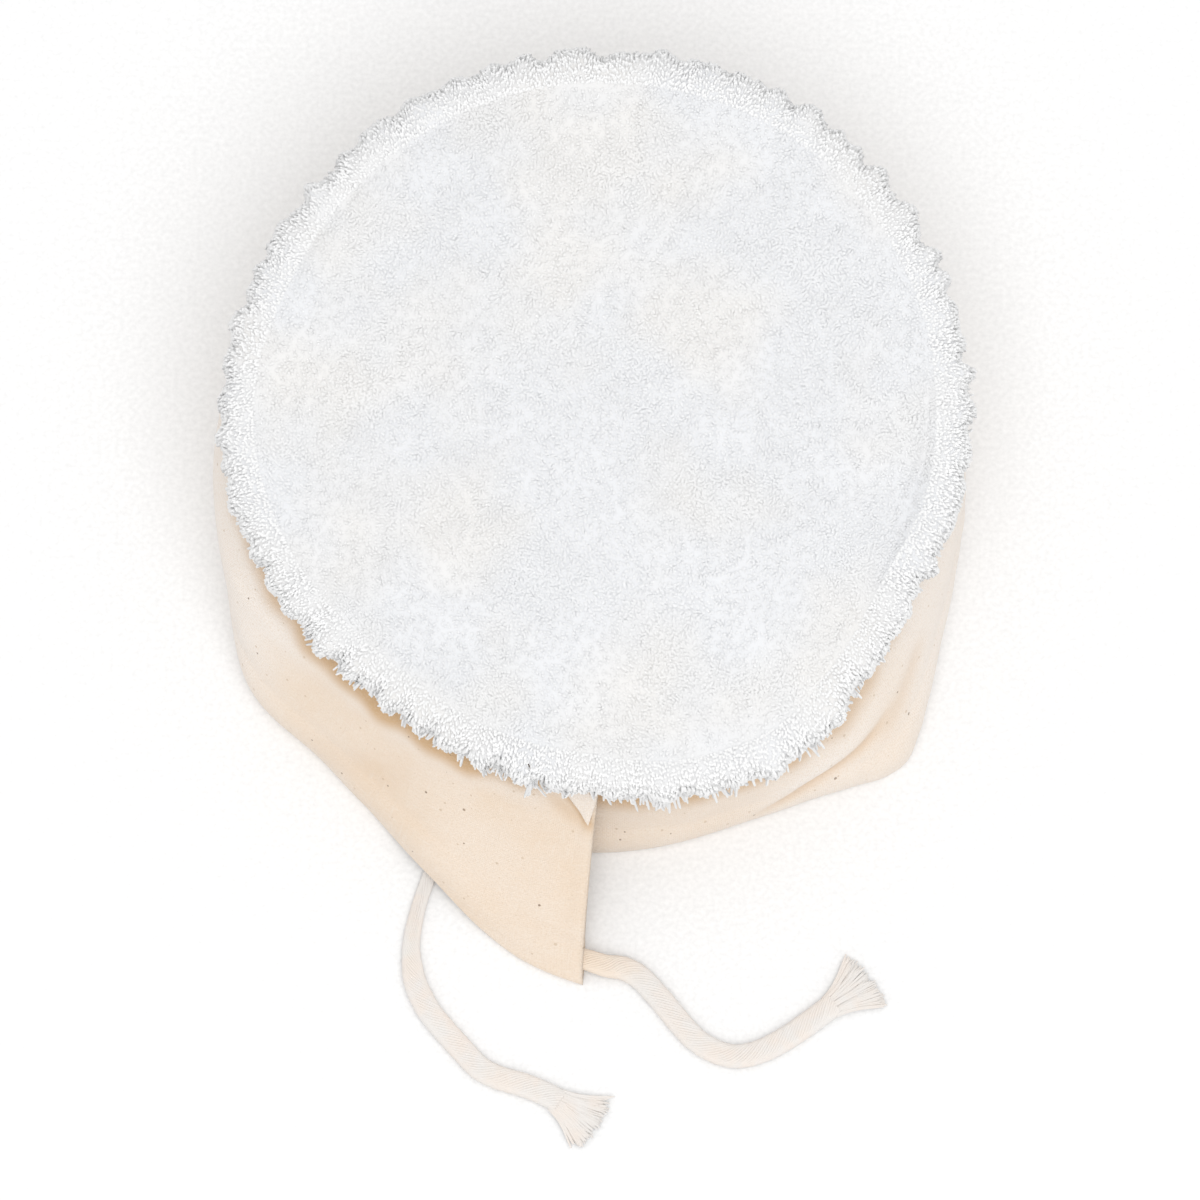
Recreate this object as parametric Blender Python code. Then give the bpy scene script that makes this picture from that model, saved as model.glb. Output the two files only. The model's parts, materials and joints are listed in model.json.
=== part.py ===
"""Tie-on polishing bonnet: a round terry face with a canvas skirt, drawn shut by a cotton cord.

It stands on its hem with the terry face up, the lapped front towards -Y. Metres, +Z up. The origin
is on the surface that it stands on, under the middle of the crown and skirt taken together.
"""

from collections import namedtuple
from math import cos, degrees, pi, radians, sin

import bmesh
import bpy
import numpy as np
from mathutils import Vector

MM = 0.001
UP = Vector((0, 0, 1))

# Crown: the round terry face
CROWN_DIAMETER = 185 * MM  # over the pile
CROWN_THICKNESS = 6.5 * MM  # backing and pile
CROWN_HEIGHT = 45 * MM  # middle of its underside over the surface
CROWN_TILT = radians(5)  # leans to the front
RIM_WIDTH = 3.8 * MM  # the rolled edge that hangs outside the skirt
RIM_DEPTH = 3.0 * MM  # how far it hangs below the underside
RIM_CLEARANCE = 0.8 * MM  # between the rim and the canvas inside it
SEAM_RECESS = 0.4 * MM  # the underside is thinner by this where the canvas is sewn on
SEAM_GAP = 0.6 * MM  # between it and the canvas's upper edge there
TUFT_DEPTH = 1.8 * MM  # how far the outline goes in and out
TUFTS = 96
OUT_OF_ROUND = 5.0 * MM  # how far the outline stands outside its circle at most
SWELL = 0.9 * MM  # shallow waves over the face
GROOVE_INSET = 9.0 * MM  # stitched line, in from the outline
GROOVE_DEPTH = 1.2 * MM
SEAT_CLEARANCE = 1.5 * MM  # between the flat seat under the crown and the canvas round it

# Skirt: one strip of canvas round the crown
CANVAS = 1.0 * MM
LAP_GAP = 0.9 * MM  # between the two layers where the strip laps over itself
FLAP_REACH = 44.5 * MM  # how far the flap's lower corner lies outside the seam
FLAP_ANGLE = 270.8  # degrees round from +X, where the strip's outer end is sewn on
FLAP_SLANT = 2.1  # degrees that the flap's end leans round by at the hem
SLANT_ENDS = 25.0  # degrees round by which that lean is gone
STRIP_TURN = 373.0  # degrees from the outer end round to the inner one
LAP_BLEND = 40.0  # degrees over which the layers of the lap come back to one line
SEAM_HANDLE = 0.32  # share of the drop that shapes the wall as it leaves the seam
FOOT_HANDLE = 0.40  # the same where it meets the surface upright
FLAT_HANDLE = 0.62  # share of the reach that shapes it where it lies flat
LIE_FLATTENS = 0.75  # share of FOOT_HANDLE that is gone there
BULGE_HIGH = 0.85  # under 1 the bulge sits above the wall's middle
GATHER_DEPTH = 1.3 * MM  # small waves where the cord draws the hem in, round the sides and back
GATHERS = 13
GATHERED_FROM = (60, 100)  # degrees round where the waves come in
GATHERED_TO = (265, 300)  # and where they fade out
SECTIONS = 78
WALL_ROWS = 7
CURVE_STEPS = 40

# Hem: the strip's lower edge, folded up and stitched, hollow for the cord
HEM_WIDTH = 12.0 * MM
HEM_CLEARANCE = 0.5 * MM  # round the cord inside it
HEM_FOLD = 1.3 * MM  # solid cloth under the hollow, at the fold
HEM_ROUNDNESS = 0.7  # under 1 the hollow is fuller than an arch
FOLD_SHARE = 0.55  # half the fold's lower edge, as a share of the canvas
HEM_ROWS = 5
ARCH_CLEARANCE = 1.2 * MM  # between the flap's hem and the cord that it rides over
ARCH_TURN = 22.0  # degrees round from the flap's end
ARCH_WIDTH = 7.0  # degrees

# Cord: flat, loosely twisted cotton
CORD_WIDTH = 6.0 * MM
CORD_DEPTH = 3.0 * MM
HEMMED_CORD_WIDTH = 5.2 * MM  # pressed flat inside the hem
HEMMED_CORD_DEPTH = 2.0 * MM
HEMMED_CORD_SIDES = 6
CORD_STUB = 1.5 * MM  # how far it stands out of the hem at each end
PINCH = 0.6  # share of its size where it is twisted tight, near the hem's inner mouth
CORD_STEP = 4.5 * MM
PIECE_GAP = 0.3 * MM

# Frayed tips: locks of yarn on a short head
TIP_LENGTH = 12.5 * MM
TIP_HEAD = 2.5 * MM
TIP_WIDENS = 1.15  # the head's far end against the cord's width
TIP_FLATTENS = 0.9  # and against its depth
TIP_ROUND = 1.6  # how much lower the head is at its sides
TIP_SPREAD = radians(58)
TIP_LOCKS = 7
LOCK_SHORTEST = 0.75  # share of the length past the head
LOCK_VARIES = 0.35  # and what is added to it at random
LOCK_TAPER = 1.1  # width at the end of a lock, as a share of its root

# Follows from the above
CROWN_RADIUS = CROWN_DIAMETER / 2
RIM_INNER = CROWN_RADIUS - RIM_WIDTH
HEM_ROOM = HEMMED_CORD_DEPTH + 2 * HEM_CLEARANCE
SEAM_RADIUS = RIM_INNER - RIM_CLEARANCE - CANVAS - LAP_GAP / 2
SEAT_RADIUS = SEAM_RADIUS - CANVAS - LAP_GAP / 2 - SEAT_CLEARANCE
SKIRT_BULGE = 0.15  # how far the left side stands outside the seam, a share of FLAP_REACH
BOX_LEFT = SEAM_RADIUS + SKIRT_BULGE * FLAP_REACH + CANVAS / 2
CROWN_X = (BOX_LEFT - CROWN_RADIUS) / 2
CROWN_Y = (SEAM_RADIUS + FLAP_REACH - CROWN_RADIUS) / 2
CROWN_NORMAL = Vector((0, -sin(CROWN_TILT), cos(CROWN_TILT)))
CROWN_BACK = Vector((0, cos(CROWN_TILT), sin(CROWN_TILT)))
CROWN_MIDDLE = Vector((CROWN_X, CROWN_Y, CROWN_HEIGHT))

# The crown lies a little out of round: how far its edge stands outside its circle, or inside it where
# under 0, as a share of OUT_OF_ROUND, so many degrees round from +X
OutlineRow = namedtuple("OutlineRow", "angle out")
OUTLINE = (
    OutlineRow(0.0, 0.0),
    OutlineRow(50.0, 0.28),
    OutlineRow(90.0, 0.0),
    OutlineRow(150.0, -0.32),
    OutlineRow(180.0, 0.0),
    OutlineRow(206.0, -0.52),
    OutlineRow(232.0, -1.04),
    OutlineRow(252.0, -0.52),
    OutlineRow(268.0, -0.08),
    OutlineRow(284.0, 0.76),
    OutlineRow(298.0, 1.0),
    OutlineRow(313.0, 0.24),
    OutlineRow(331.0, -0.52),
    OutlineRow(348.0, -0.08),
    OutlineRow(360.0, 0.0),
)

# Sections of the strip, from its outer end round to its inner one. turn is in degrees round from the
# outer end. reach is how far the hem stands outside the seam and bulge how far the wall swells above it,
# both as shares of FLAP_REACH. lie is 0 where the wall meets the surface upright and 1 where it lies flat.
SkirtRow = namedtuple("SkirtRow", "turn reach bulge lie")
SKIRT = (
    SkirtRow(0.0, 1.00, 0.00, 0.75),
    SkirtRow(7.0, 0.89, 0.01, 0.72),
    SkirtRow(13.0, 0.76, 0.03, 0.65),
    SkirtRow(22.5, 0.545, 0.05, 0.50),
    SkirtRow(34.5, 0.335, 0.06, 0.30),
    SkirtRow(44.5, 0.275, 0.06, 0.15),
    SkirtRow(55.5, 0.315, 0.08, 0.15),
    SkirtRow(69.5, 0.15, 0.17, 0.0),
    SkirtRow(84.5, 0.03, 0.15, 0.0),
    SkirtRow(96.0, -0.02, 0.13, 0.0),
    SkirtRow(120.0, -0.10, 0.06, 0.0),
    SkirtRow(150.0, -0.16, 0.03, 0.0),
    SkirtRow(180.0, -0.18, 0.02, 0.0),
    SkirtRow(210.0, -0.16, 0.03, 0.0),
    SkirtRow(240.0, -0.09, 0.05, 0.0),
    SkirtRow(259.0, -0.02, 0.09, 0.0),
    SkirtRow(275.0, 0.03, 0.08, 0.0),
    SkirtRow(297.0, 0.15, 0.08, 0.0),
    SkirtRow(307.5, 0.30, 0.06, 0.1),
    SkirtRow(311.5, 0.38, 0.05, 0.2),
    SkirtRow(315.5, 0.435, 0.04, 0.25),
    SkirtRow(318.5, 0.41, 0.04, 0.2),
    SkirtRow(322.0, 0.345, 0.04, 0.1),
    SkirtRow(330.0, 0.25, 0.03, 0.1),
    SkirtRow(341.0, 0.205, 0.02, 0.1),
    SkirtRow(360.0, 0.22, -0.02, 0.1),
    SkirtRow(STRIP_TURN, 0.20, -0.03, 0.1),
)

# Round the crown's edge, from the inside of the rolled rim to the face. across is in from
# the outline as a share of RIM_WIDTH. up is a share of RIM_DEPTH below the underside and of
# CROWN_THICKNESS above it.
RimRow = namedtuple("RimRow", "across up")
RIM_ROLL = (
    RimRow(0.88, -0.70),
    RimRow(0.62, -1.0),
    RimRow(0.30, -0.80),
    RimRow(0.02, -0.10),
    RimRow(0.00, 0.40),
    RimRow(0.28, 0.76),
    RimRow(0.95, 0.97),
)
# Rings of the face, as shares of the radius of the stitched line
FACE_RINGS = (0.94, 0.76, 0.52, 0.26)

# Free ends of the cord: x and y of points along each, in millimetres from the crown's middle, rise, how
# high the cord hangs over the surface there, and its size as a share of CORD_WIDTH and CORD_DEPTH
CordPoint = namedtuple("CordPoint", "x y rise share")
LEFT_CORD = (
    CordPoint(-22.1, -91.4, 5.6, PINCH),
    CordPoint(-26.5, -91.0, 4.4, PINCH),
    CordPoint(-32.5, -92.6, 2.0, PINCH),
    CordPoint(-37.8, -97.2, 0.4, PINCH),
    CordPoint(-41.0, -104.4, 0.0, PINCH),
    CordPoint(-43.4, -111.9, 0.0, 0.62),
    CordPoint(-45.0, -120.3, 0.0, 0.72),
    CordPoint(-44.7, -127.1, 0.0, 0.88),
    CordPoint(-43.6, -131.7, 0.0, 0.97),
    CordPoint(-40.7, -137.5, 0.0, 1.0),
    CordPoint(-37.2, -142.1, 0.0, 1.0),
    CordPoint(-32.3, -147.7, 0.0, 1.0),
    CordPoint(-28.2, -152.0, 0.0, 1.0),
    CordPoint(-24.0, -154.3, 0.0, 1.0),
    CordPoint(-20.1, -155.5, 0.0, 1.0),
    CordPoint(-16.2, -156.8, 0.0, 1.0),
    CordPoint(-11.6, -158.8, 0.0, 1.0),
    CordPoint(-8.6, -160.6, 0.0, 1.0),
)
RIGHT_CORD = (
    CordPoint(-0.3, -125.6, 1.5, 0.90),
    CordPoint(3.0, -126.5, 0.9, 0.95),
    CordPoint(6.9, -126.9, 0.3, 1.0),
    CordPoint(11.0, -129.2, 0.0, 1.0),
    CordPoint(15.7, -134.3, 0.0, 1.0),
    CordPoint(21.6, -141.6, 0.0, 1.0),
    CordPoint(25.7, -145.7, 0.0, 1.0),
    CordPoint(31.4, -148.6, 0.0, 1.0),
    CordPoint(36.5, -148.9, 0.0, 1.0),
    CordPoint(42.6, -146.9, 0.0, 1.0),
    CordPoint(49.7, -142.6, 0.0, 1.0),
    CordPoint(58.6, -135.9, 0.0, 1.0),
)


def slopes(knots, values):
    """Slope at each knot of a smooth curve through the values, level at each peak and trough."""
    steps = np.diff(knots)
    rates = np.diff(values) / steps
    result = np.zeros(len(values))
    result[0] = rates[0]
    result[-1] = rates[-1]
    for i in range(1, len(rates)):
        before = rates[i - 1]
        after = rates[i]
        if before * after > 0:
            result[i] = 2 * before * after / (before + after)
    return result


def smooth_value(knots, values, at):
    """The smooth curve's value at one place."""
    i = int(np.clip(np.searchsorted(knots, at) - 1, 0, len(knots) - 2))
    span = knots[i + 1] - knots[i]
    t = min(max((at - knots[i]) / span, 0.0), 1.0)
    slope = slopes(knots, values)
    start = values[i] * (1 + 2 * t) * (1 - t) ** 2 + slope[i] * span * t * (1 - t) ** 2
    end = values[i + 1] * t * t * (3 - 2 * t) - slope[i + 1] * span * t * t * (1 - t)
    return start + end


def skirt_value(name, turn):
    knots = np.array([row.turn for row in SKIRT])
    values = np.array([getattr(row, name) for row in SKIRT])
    return float(smooth_value(knots, values, turn))


def outline_shift(angle):
    knots = np.array([row.angle for row in OUTLINE])
    values = np.array([row.out * OUT_OF_ROUND for row in OUTLINE])
    return float(smooth_value(knots, values, degrees(angle) % 360))


def crown_point(radius, angle, up):
    """A point in the crown's own tilted frame, angle in radians round from +X."""
    radius += outline_shift(angle) * min(radius / SEAT_RADIUS, 1.0) ** 2
    across = Vector((radius * cos(angle), 0, 0))
    return CROWN_MIDDLE + across + CROWN_BACK * (radius * sin(angle)) + CROWN_NORMAL * up


def fade(value, start, end):
    """0 before start, 1 after end, smooth between."""
    t = min(max((value - start) / (end - start), 0.0), 1.0)
    return t * t * (3 - 2 * t)


def seam_radius(turn):
    """The outer end of the strip is sewn on just outside the inner end."""
    lap = STRIP_TURN - 360
    outer = 1 - fade(turn, lap, lap + LAP_BLEND)
    inner = fade(turn, 360 - lap - LAP_BLEND, 360 - lap)
    return SEAM_RADIUS + (outer - inner) * (CANVAS + LAP_GAP) / 2


def skirt_curve(turn):
    """Points down the middle of the canvas from the seam to the hem, where the strip has turned this far."""
    seam_angle = radians(FLAP_ANGLE - turn)
    slant = FLAP_SLANT * (1 - fade(turn, 0, SLANT_ENDS))
    hem_angle = radians(FLAP_ANGLE - slant - turn)
    outward = Vector((cos(hem_angle), sin(hem_angle), 0))
    reach = skirt_value("reach", turn) * FLAP_REACH
    bulge = skirt_value("bulge", turn) * FLAP_REACH
    lie = skirt_value("lie", turn)
    seam = crown_point(seam_radius(turn), seam_angle, SEAM_RECESS - SEAM_GAP)
    foot = Vector((CROWN_X, CROWN_Y, 0)) + outward * (SEAM_RADIUS + reach)
    drop = seam.z
    from_seam = seam - CROWN_NORMAL * (SEAM_HANDLE * drop)
    rise = FOOT_HANDLE * drop * (1 - LIE_FLATTENS * lie)
    from_foot = foot + UP * rise - outward * (FLAT_HANDLE * lie * reach)
    gathered = GATHER_DEPTH * fade(turn, *GATHERED_FROM) * (1 - fade(turn, *GATHERED_TO))
    ripple = gathered * cos(radians(turn) * GATHERS)
    points = []
    for t in np.linspace(0, 1, CURVE_STEPS + 1):
        point = seam * (1 - t) ** 3 + from_seam * (3 * t * (1 - t) ** 2)
        point += from_foot * (3 * t * t * (1 - t)) + foot * t**3
        point += outward * (bulge * sin(pi * t**BULGE_HIGH) ** 2 + ripple * t * t)
        points.append(point)
    return points


def skirt_row_depths():
    """How far above the hem's fold each row lies, as (share of the wall, distance in the hem)."""
    wall = [(1 - i / WALL_ROWS, HEM_WIDTH) for i in range(WALL_ROWS)]
    hem = [(0.0, HEM_WIDTH - (HEM_WIDTH - HEM_FOLD) * i / HEM_ROWS) for i in range(HEM_ROWS + 1)]
    return wall + hem + [(0.0, 0.0)]


def points_down(curve):
    """The section's points at the strip's rows."""
    line = np.array([tuple(point) for point in curve])
    run = np.concatenate(([0.0], np.cumsum(np.linalg.norm(np.diff(line, axis=0), axis=1))))
    whole = run[-1]
    places = [whole - depth - share * (whole - depth) for share, depth in skirt_row_depths()]
    return np.stack([np.interp(places, run, line[:, axis]) for axis in range(3)], axis=1)


def unit(vectors):
    return vectors / np.linalg.norm(vectors, axis=-1, keepdims=True)


def skirt_layers():
    """The strip as arrays of sections by rows: its turns, its middle and its outward normals."""
    turns = np.linspace(0, STRIP_TURN, SECTIONS)
    middle = np.array([points_down(skirt_curve(turn)) for turn in turns])
    along = unit(np.gradient(middle, axis=0))
    down = unit(np.gradient(middle, axis=1))
    outward = unit(np.cross(along, down))
    centre = np.array((CROWN_X, CROWN_Y, CROWN_HEIGHT))
    if np.sum(outward * (middle - centre)) < 0:
        outward = -outward
    return turns, middle, outward


def hem_shape():
    """Half the strip's thickness and half the hollow's width at each row."""
    wall = [CANVAS / 2] * WALL_ROWS
    inside = [sin(pi * i / HEM_ROWS) for i in range(1, HEM_ROWS)]
    room = [0.0] + [HEM_ROOM / 2 * share**HEM_ROUNDNESS for share in inside] + [0.0]
    thick = wall + [CANVAS + half for half in room] + [CANVAS * FOLD_SHARE]
    hollow = [0.0] * WALL_ROWS + room + [0.0]
    return np.array(thick), np.array(hollow)


def lift_for_cord(turn):
    away = (turn - ARCH_TURN) / ARCH_WIDTH
    return (PINCH * CORD_DEPTH + ARCH_CLEARANCE) * float(np.exp(-away * away))


def set_on_surface(turns, faces, others):
    """Moves each section so that its lowest point rests on the surface, or on the cord under the flap."""
    for i, turn in enumerate(turns):
        top = faces[0][i, 0, 2]
        low = min(face[i, :, 2].min() for face in faces)
        wanted = lift_for_cord(turn)
        for layer in faces + others:
            share = np.clip((top - layer[i, :, 2]) / (top - low), 0, 1)
            layer[i, :, 2] += (wanted - low) * share


def skirt_surfaces():
    """Outer and inner faces of the strip, the two walls of the hem's hollow, and the hollow's middle."""
    turns, middle, outward = skirt_layers()
    thick, hollow = hem_shape()
    outer = middle + outward * thick[None, :, None]
    inner = middle - outward * thick[None, :, None]
    hollow_out = middle + outward * hollow[None, :, None]
    hollow_in = middle - outward * hollow[None, :, None]
    set_on_surface(turns, [outer, inner], [hollow_out, hollow_in, middle])
    return outer, inner, hollow_out, hollow_in, middle


def material(name, colour, roughness):
    made = bpy.data.materials.new(name)
    made.use_nodes = True
    shader = made.node_tree.nodes["Principled BSDF"]
    shader.inputs["Base Color"].default_value = (*colour, 1)
    shader.inputs["Roughness"].default_value = roughness
    shader.inputs["Metallic"].default_value = 0
    made.diffuse_color = (*colour, 1)
    return made


def new_object(name, bm, finish):
    """A named object from a closed bmesh, its faces turned out and shaded smooth."""
    bmesh.ops.recalc_face_normals(bm, faces=bm.faces)
    mesh = bpy.data.meshes.new(name)
    bm.to_mesh(mesh)
    bm.free()
    mesh.materials.append(finish)
    mesh.shade_smooth()
    mesh.set_sharp_from_angle(angle=radians(50))
    made = bpy.data.objects.new(name, mesh)
    bpy.context.scene.collection.objects.link(made)
    return made


def vertices(bm, points):
    return [bm.verts.new(tuple(point)) for point in points]


def bridge(bm, rings):
    """Faces from each closed ring of vertices to the next."""
    for near, far in zip(rings, rings[1:]):
        for i in range(len(near)):
            j = (i + 1) % len(near)
            bm.faces.new((near[i], near[j], far[j], far[i]))


def face_swell(x, y):
    """Shallow waves over the terry face, from -1 to 1."""
    u = x / CROWN_RADIUS
    v = y / CROWN_RADIUS
    return (sin(3.1 * u + 1.7 * v + 0.6) + sin(2.3 * u - 3.9 * v) + cos(4.6 * u + 2.9 * v)) / 3


def build_crown(finish):
    rng = np.random.default_rng(7)
    tufts = TUFT_DEPTH * (rng.random(TUFTS) - 0.5)
    angles = [2 * pi * i / TUFTS for i in range(TUFTS)]
    line_radius = CROWN_RADIUS - GROOVE_INSET
    bm = bmesh.new()
    underside = ((SEAT_RADIUS, 0), (SEAT_RADIUS + SEAM_RECESS, SEAM_RECESS), (RIM_INNER, SEAM_RECESS))
    rings = [vertices(bm, [crown_point(radius, a, up) for a in angles]) for radius, up in underside]
    for row in RIM_ROLL:
        radius = CROWN_RADIUS - row.across * RIM_WIDTH
        height = row.up * (CROWN_THICKNESS if row.up > 0 else RIM_DEPTH)
        loose = 1 - fade(row.across, 0.3, 0.7)
        rings.append(
            vertices(bm, [crown_point(radius + loose * tuft, a, height) for a, tuft in zip(angles, tufts)])
        )
    shoulder = (CROWN_RADIUS - RIM_WIDTH + line_radius) / 2
    rings.append(vertices(bm, [crown_point(shoulder, a, CROWN_THICKNESS) for a in angles]))
    groove = CROWN_THICKNESS - GROOVE_DEPTH
    rings.append(vertices(bm, [crown_point(line_radius, a, groove) for a in angles]))
    for share in FACE_RINGS:
        radius = share * line_radius
        heights = [CROWN_THICKNESS + SWELL * face_swell(radius * cos(a), radius * sin(a)) for a in angles]
        rings.append(vertices(bm, [crown_point(radius, a, h) for a, h in zip(angles, heights)]))
    bridge(bm, rings)
    bm.faces.new(rings[0])
    middle = bm.verts.new(crown_point(0, 0, CROWN_THICKNESS + SWELL * face_swell(0, 0)))
    last = rings[-1]
    for i in range(TUFTS):
        bm.faces.new((last[i], last[(i + 1) % TUFTS], middle))
    return new_object("terry_crown", bm, finish)


def hollow_rows():
    """The rows where the hem's hollow starts and ends."""
    return WALL_ROWS, WALL_ROWS + HEM_ROWS


def close_strip_end(bm, out, back, wall_out, wall_in):
    """The strip's end: solid cloth, with the mouth of the hem's hollow left open."""
    start, end = hollow_rows()
    for i in range(len(out) - 1):
        if start <= i < end:
            bm.faces.new((out[i], out[i + 1], wall_out[i + 1], wall_out[i]))
            bm.faces.new((back[i], back[i + 1], wall_in[i + 1], wall_in[i]))
            continue
        corners = [out[i], out[i + 1], back[i + 1], back[i]]
        if i + 1 == start:
            corners.insert(2, wall_out[start])
        if i == end:
            corners.append(wall_out[end])
        bm.faces.new(corners)


def build_skirt(finish):
    outer, inner, hollow_out, hollow_in, _ = skirt_surfaces()
    start, end = hollow_rows()
    bm = bmesh.new()
    skins = []
    hollows = []
    ends = []
    for section in range(SECTIONS):
        out = vertices(bm, outer[section])
        back = vertices(bm, inner[section])
        top = bm.verts.new(tuple(hollow_out[section, start]))
        foot = bm.verts.new(tuple(hollow_out[section, end]))
        wall_out = [top] + vertices(bm, hollow_out[section, start + 1 : end]) + [foot]
        wall_in = [top] + vertices(bm, hollow_in[section, start + 1 : end]) + [foot]
        skins.append(out + back[::-1])
        hollows.append(wall_out + wall_in[-2:0:-1])
        above = [None] * start
        ends.append((out, back, above + wall_out, above + wall_in))
    bridge(bm, skins)
    bridge(bm, hollows)
    close_strip_end(bm, *ends[0])
    close_strip_end(bm, *ends[-1])
    return new_object("canvas_skirt", bm, finish)


def hem_line():
    """The hollow hem's middle, section by section, with the way down the cloth and the way out."""
    outer, inner, _, _, middle = skirt_surfaces()
    depths = [depth for _, depth in skirt_row_depths()]
    wanted = (HEM_WIDTH + HEM_FOLD) / 2
    rows = np.array(depths[WALL_ROWS:])[::-1]
    line = []
    down = []
    out = []
    for section in range(SECTIONS):
        hem = middle[section, WALL_ROWS:][::-1]
        skin = (outer - inner)[section, WALL_ROWS:][::-1]
        line.append([np.interp(wanted, rows, hem[:, axis]) for axis in range(3)])
        down.append(hem[1] - hem[-1])
        out.append([np.interp(wanted, rows, skin[:, axis]) for axis in range(3)])
    return np.array(line), unit(np.array(down)), unit(np.array(out))


def build_hemmed_cord(finish):
    line, down, out = hem_line()
    first = line[0] + unit(line[0] - line[1]) * CORD_STUB
    last = line[-1] + unit(line[-1] - line[-2]) * CORD_STUB
    line = np.vstack((first, line, last))
    down = np.vstack((down[0], down, down[-1]))
    out = np.vstack((out[0], out, out[-1]))
    bm = bmesh.new()
    rings = []
    for place, low, side in zip(line, down, out):
        ring = []
        for i in range(HEMMED_CORD_SIDES):
            a = 2 * pi * i / HEMMED_CORD_SIDES
            flat = low * (HEMMED_CORD_WIDTH / 2 * cos(a))
            ring.append(place + flat + side * (HEMMED_CORD_DEPTH / 2 * sin(a)))
        rings.append(vertices(bm, ring))
    bridge(bm, rings)
    bm.faces.new(rings[0])
    bm.faces.new(rings[-1])
    return new_object("drawstring_in_hem", bm, finish)


def spline_through(rows, steps):
    """Points on a smooth curve through the rows, this many steps between each two."""
    padded = np.vstack((2 * rows[0] - rows[1], rows, 2 * rows[-1] - rows[-2]))
    points = []
    for before, start, end, after in zip(padded, padded[1:], padded[2:], padded[3:]):
        for t in np.arange(steps) / steps:
            even = 2 * start + (end - before) * t
            bend = (2 * before - 5 * start + 4 * end - after) * t * t
            points.append((even + bend + (3 * start - before - 3 * end + after) * t**3) / 2)
    return np.array(points + [rows[-1]])


def route(chosen):
    """Evenly spaced rows of x, y, z and share of full size along a smooth curve through the chosen points."""
    rows = [
        (CROWN_X + p.x * MM, CROWN_Y + p.y * MM, p.rise * MM + p.share * CORD_DEPTH / 2, p.share)
        for p in chosen
    ]
    dense = spline_through(np.array(rows), 10)
    run = np.concatenate(([0.0], np.cumsum(np.linalg.norm(np.diff(dense[:, :3], axis=0), axis=1))))
    places = np.linspace(0, run[-1], int(round(run[-1] / CORD_STEP)) + 1)
    path = np.stack([np.interp(places, run, dense[:, column]) for column in range(4)], axis=1)
    path[:, 2] = np.maximum(path[:, 2], path[:, 3] * CORD_DEPTH / 2)
    return path


def build_cord_end(name, chosen, finish):
    curve = bpy.data.curves.new(name, "CURVE")
    curve.dimensions = "3D"
    curve.twist_mode = "Z_UP"
    curve.bevel_depth = CORD_DEPTH / 2
    curve.bevel_resolution = 2
    curve.extrude = (CORD_WIDTH - CORD_DEPTH) / 2
    curve.use_fill_caps = True
    path = route(chosen)
    spline = curve.splines.new("POLY")
    spline.points.add(len(path) - 1)
    for point, (x, y, z, share) in zip(spline.points, path):
        point.co = (x, y, z, 1)
        point.radius = share
        point.tilt = pi / 2
    curve.materials.append(finish)
    made = bpy.data.objects.new(name, curve)
    bpy.context.scene.collection.objects.link(made)
    return path


def build_tip(name, path, seed, finish):
    """A frayed end: a short head that carries on from the cord, and locks that fan out over the surface."""
    rng = np.random.default_rng(seed)
    ahead = Vector((*(path[-1, :2] - path[-2, :2]), 0)).normalized()
    side = Vector((-ahead.y, ahead.x, 0))
    start = Vector((*path[-1, :2], 0)) + ahead * PIECE_GAP
    edges = [i / TIP_LOCKS - 0.5 for i in range(TIP_LOCKS + 1)]
    bm = bmesh.new()
    rows = []
    for reach, widened, flattened in ((0.0, 1.0, 1.0), (TIP_HEAD, TIP_WIDENS, TIP_FLATTENS)):
        places = [start + ahead * reach + side * (edge * widened * CORD_WIDTH) for edge in edges]
        depth = flattened * CORD_DEPTH
        tops = [place + UP * (depth * (1 - TIP_ROUND * edge * edge)) for place, edge in zip(places, edges)]
        rows.append((vertices(bm, places), vertices(bm, tops)))
    (low, high), (low_ahead, high_ahead) = rows
    for i in range(TIP_LOCKS):
        j = i + 1
        bm.faces.new((low[i], low[j], low_ahead[j], low_ahead[i]))
        bm.faces.new((high[i], high[j], high_ahead[j], high_ahead[i]))
        bm.faces.new((low[i], low[j], high[j], high[i]))
        root = (low_ahead[i], low_ahead[j], high_ahead[j], high_ahead[i])
        middle = (edges[i] + edges[j]) / 2
        heading = middle * TIP_SPREAD
        uneven = LOCK_SHORTEST + LOCK_VARIES * rng.random() * (1 - abs(middle))
        length = (TIP_LENGTH - TIP_HEAD) * uneven
        step = (ahead * cos(heading) + side * sin(heading)) * length
        centre = sum((corner.co for corner in root), Vector()) / 4
        low_centre = Vector((centre.x, centre.y, 0))
        far = vertices(bm, [low_centre + step + (corner.co - low_centre) * LOCK_TAPER for corner in root])
        for k in range(4):
            bm.faces.new((root[k], root[(k + 1) % 4], far[(k + 1) % 4], far[k]))
        bm.faces.new(far)
    for i in (0, TIP_LOCKS):
        bm.faces.new((low[i], low_ahead[i], high_ahead[i], high[i]))
    return new_object(name, bm, finish)


def build():
    for old in list(bpy.data.objects):
        bpy.data.objects.remove(old)
    terry = material("terry", (0.86, 0.88, 0.90), 0.95)
    canvas = material("canvas", (0.80, 0.70, 0.56), 0.9)
    cotton = material("cotton_cord", (0.83, 0.78, 0.70), 0.9)
    build_crown(terry)
    build_skirt(canvas)
    build_hemmed_cord(cotton)
    left = build_cord_end("drawstring_end_left", LEFT_CORD, cotton)
    right = build_cord_end("drawstring_end_right", RIGHT_CORD, cotton)
    build_tip("frayed_tip_left", left, 3, cotton)
    build_tip("frayed_tip_right", right, 5, cotton)


build()
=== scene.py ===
"""Dresses the tie-on polishing bonnet: terry pile, a canvas skirt with its folds, and the cotton cord.

Metres, +Z up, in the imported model's frame, with the lapped front towards -Y. Each surface is worked out
from the same sections as the solid that it stands for and then gets its own detail.
"""

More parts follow.
